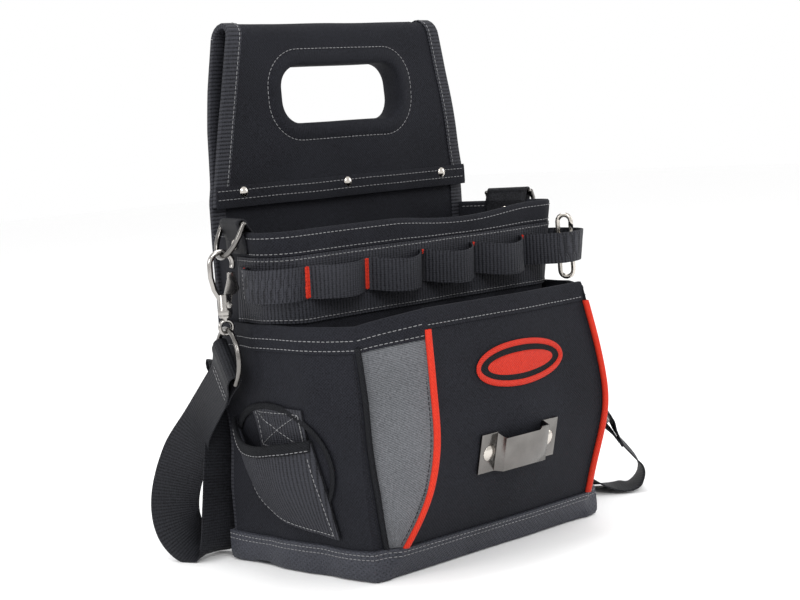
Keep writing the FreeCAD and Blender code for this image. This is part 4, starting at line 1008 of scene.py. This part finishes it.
# ---- Shoulder strap ----
STRAP_ROUTE = [
    ((-148, -20, 108), (-0.05, 0.70, -0.70)),
    ((-155, -34, 79), (0.45, 0.55, -0.65)),
    ((-160, -42, 50), (0.80, 0.55, -0.25)),
    ((-159, -42, 27), (0.92, 0.40, -0.05)),
    ((-151, -35, 9), (1, 0.1, 0)),
    ((-144, -25, 4), (1, 0, 0)),
    ((-140, -16, 12), (1, 0, 0)),
    ((-137, -12, 45), (1, 0, 0)),
    ((-130, -12, 92), (1, 0, 0)),
    ((-118, -14, 134), (1, 0, 0)),
    ((-110, -24, 152), (1, 0, 0)),
    ((-105, -35, 134), (1, 0, 0)),
    ((-102, -40, 92), (0.9, 0.4, 0)),
    ((-98, -43, 50), (0.55, 0.83, 0)),
    ((-88, -45, 18), (0.1, 1, 0)),
    ((-68, -45, 3), (0, 1, 0)),
    ((-20, -44, 2), (0, 1, 0)),
    ((35, -42, 2), (0, 1, 0)),
    ((85, -40, 8), (0, 0.95, -0.3)),
    ((122, -33, 16), (0, 0.55, -0.83)),
    ((146, -12, 21), (0, 0, -1)),
    ((151, 20, 21), (0, 0, -1)),
    ((158, 48, 20), (0.05, -0.05, -1)),
    ((171, 68, 17), (0.3, -0.3, -0.85)),
    ((186, 90, 8), (0.6, -0.65, -0.3)),
    ((201, 108, 3), (0.67, -0.74, 0)),
    ((214, 116, 6), (0.67, -0.74, 0)),
    ((221, 115, 21), (0.68, -0.73, 0.04)),
]
FOLD_LENGTH = 28


def chain_end(body, twist, turn):
    """The strap ring's bar: its middle, its direction and the way the strap leaves it."""
    joint = next(j for j in frame["joints"] if j["child"] == body)
    up = Vector(joint["axis"])
    swing = next(j for j in frame["joints"] if j["child"] == joint["parent"])
    bar = Vector(swing["axis"])
    bar = (bar - up * bar.dot(up)).normalized()
    across = (Matrix.Rotation(math.radians(twist), 3, up) @ bar).normalized()
    centre = Vector(joint["pos_m"]) / MM - up * JOINT_TO_RING
    a = math.radians(turn)
    leave = across * math.sin(a) - up * math.cos(a)
    return centre + leave * RING_TO_BAR, across * math.cos(a) + up * math.sin(a), leave


def smooth(values, steps):
    """A smooth curve through vectors, in equal steps between each two."""
    result = []
    for i in range(len(values) - 1):
        p0, p1 = values[max(i - 1, 0)], values[i]
        p2, p3 = values[i + 1], values[min(i + 2, len(values) - 1)]
        for k in range(steps):
            t = k / steps
            point = p1 * 2 + (p2 - p0) * t + (p0 * 2 - p1 * 5 + p2 * 4 - p3) * t ** 2
            result.append((point + (p1 * 3 - p0 - p2 * 3 + p3) * t ** 3) * 0.5)
    return result + [values[-1]]


def strap_sections(places, widths):
    """The strap's cross-sections, lifted off the floor where they would go into it."""
    half, thick = STRAP_WIDTH / 2, STRAP_THICK / 2
    shape = [(-half, 0.3), (-half, -0.3)] + [(w, -thick) for w in spread(-half + 0.4, half - 0.4, 6)]
    shape += [(half, -0.3), (half, 0.3)] + [(w, thick) for w in spread(half - 0.4, -half + 0.4, 6)]
    sections = []
    for i, (place, width) in enumerate(zip(places, widths)):
        way = (places[min(i + 1, len(places) - 1)] - places[max(i - 1, 0)]).normalized()
        across = (width - way * width.dot(way)).normalized()
        normal = way.cross(across)
        section = [place + across * w + normal * t for w, t in shape]
        lift = max(0.35 - min(p.z for p in section), 0)
        sections.append([p + Vector((0, 0, lift)) for p in section])
    return sections


def strap_fold(name, centre, bar, leave, body):
    """The strap's end turned round its ring's bar and sewn down."""
    normal = bar.cross(leave)
    line = [(FOLD_LENGTH, 0.85), (24, 0.85), (14, 2.2), (6, 4.6)] + arc((0, 0), 75, 285, 4.9, 13)
    line += [(6, -4.6), (14, -2.2), (24, -0.85), (FOLD_LENGTH + 1, -0.85)]
    places = [centre + leave * t + normal * n for t, n in line]
    sections = strap_sections(smooth(places, 3), [bar] * (3 * (len(places) - 1) + 1))
    loft(name, sections, STRAP_WEB, (), body=body, soft=False)
    for reach, off in ((26, 1.75), (21.5, 2.1)):
        for side in (-1, 1):
            start = centre + leave * reach + normal * (side * off)
            sew([start + bar * w for w in spread(-16.5, 16.5, 12)], soft=False, body=body)


def shoulder_strap():
    left, left_bar, left_way = chain_end("left_swivel", 0, 46)
    right, right_bar, right_way = chain_end("right_swivel", -38, 0)
    places = [left + left_way * (FOLD_LENGTH - 2)]
    widths = [left_bar if left_bar.z < 0 else -left_bar]
    for (x, d, z), (wx, wd, wz) in STRAP_ROUTE:
        places.append(at(x, d, max(z, abs(wz) * STRAP_WIDTH / 2 + 1.6)))
        widths.append(Vector((wx, -wd, wz)))
    places.append(right + right_way * (FOLD_LENGTH - 2))
    widths.append(right_bar if right_bar.dot(widths[-1]) > 0 else -right_bar)
    steps = 10
    sections = strap_sections(smooth(places, steps), smooth(widths, steps))
    cuts = (0, 6 * steps, 26 * steps, len(sections) - 1)  # the outer two runs, next to the rings, are attached to no body
    runs = []
    for word, body, start, end in zip(("left", "long", "right"), (None, "bag", None), cuts, cuts[1:]):
        nodes = ("shoulder_strap",) if body else ()
        run = sections[start:end + 1]
        runs.append(loft(f"strap_{word}_run", run, STRAP_WEB, nodes, body=body, soft=False))
    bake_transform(runs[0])
    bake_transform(runs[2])
    strap_fold("strap_fold_left", left, left_bar, left_way, "left_ring")
    strap_fold("strap_fold_right", right, right_bar, right_way, "side_ring")


# ---- Hardware and small sewn parts ----
def hardware():
    for node in ("left_d_ring", "right_d_ring", "side_d_ring", "left_strap_ring", "right_strap_ring"):
        from_cad(node, GUNMETAL, sharp=60)
    for side in ("left", "right"):
        for word in ("snap_body", "snap_gate", "gate_pin", "swivel"):
            from_cad(f"{side}_{word}", SNAP_STEEL, bevel=0.35)
        from_cad(f"{side}_ring_tab", WEBBING, soft=True, level=True)
    from_cad("side_ring_tab", WEBBING, soft=True, level=True)
    from_cad("ring_tab_rivets", NICKEL)
    from_cad("tape_clip_rivets", NICKEL)
    from_cad("tape_clip", GUNMETAL, bevel=0.5)
    from_cad("key_clip_body", NICKEL)
    from_cad("key_clip_gate", NICKEL)
    from_cad("belt_tunnel", WEBBING, soft=True)
    for z in (207.5, 215.0, 265.0, 272.5):
        sew([at(x, -3.8, z) for x in spread(-60, 60, 60)])


# ---- Camera, light and floor, in metres ----
FLOOR_REACH = 6.0
LIT_MIDDLE = Vector((0.0, 0.0, 0.2))
LAMPS = (  # name, place, power and size
    ("key", (-0.9, -1.6, 1.5), 18.0, 0.8),
    ("left", (-1.9, 0.2, 0.9), 9.0, 0.7),
    ("right", (1.8, -0.8, 0.9), 8.0, 0.9),
    ("top", (0.1, 0.3, 1.9), 12.0, 0.9),
)
CAMERA_PLACE = (-0.8891, -0.9614, 0.3313)
CAMERA_ANGLES = (-42.4, -6.1, -4.0)  # yaw, pitch and roll in degrees
FOCAL_LENGTH = 74.5


def studio():
    floor = bpy.data.meshes.new("floor")
    corners = [(x * FLOOR_REACH, y * FLOOR_REACH, 0) for x, y in ((-1, -1), (1, -1), (1, 1), (-1, 1))]
    floor.from_pydata(corners, [], [(0, 1, 2, 3)])
    plane = placed("floor", floor)
    pale = Look("pale_floor", 0.9)
    pale.colour(pale.speckle(0.4), (0.97, 0.97, 0.97), (0.99, 0.99, 0.99))
    floor.materials.append(pale.material)
    world = bpy.data.worlds.new("studio")
    bpy.context.scene.world = world
    world.use_nodes = True
    background = world.node_tree.nodes["Background"]
    background.inputs["Color"].default_value = (1.0, 1.0, 1.0, 1)
    background.inputs["Strength"].default_value = 1.0
    bpy.context.scene.view_settings.view_transform = "Standard"
    for name, place, power, size in LAMPS:
        lamp = bpy.data.lights.new(name, "AREA")
        lamp.energy = power
        lamp.size = size
        thing = placed(name, lamp)
        thing.location = place
        thing.rotation_euler = (LIT_MIDDLE - Vector(place)).to_track_quat("-Z", "Y").to_euler()
    lens = bpy.data.cameras.new("camera")
    lens.lens = FOCAL_LENGTH
    lens.sensor_width = 36.0
    camera = placed("camera", lens)
    yaw, pitch, roll = (math.radians(a) for a in CAMERA_ANGLES)
    turn = Matrix.Rotation(yaw, 4, "Z") @ Matrix.Rotation(math.pi / 2 + pitch, 4, "X")
    camera.matrix_world = Matrix.Translation(CAMERA_PLACE) @ turn @ Matrix.Rotation(roll, 4, "Z")
    bpy.context.scene.camera = camera


handle()
upper_compartment()
tool_loops()
lower_pockets()
base()
side_sleeve()
emblem()
shoulder_strap()
hardware()
make_stitches()
studio()

bpy.context.view_layer.update()
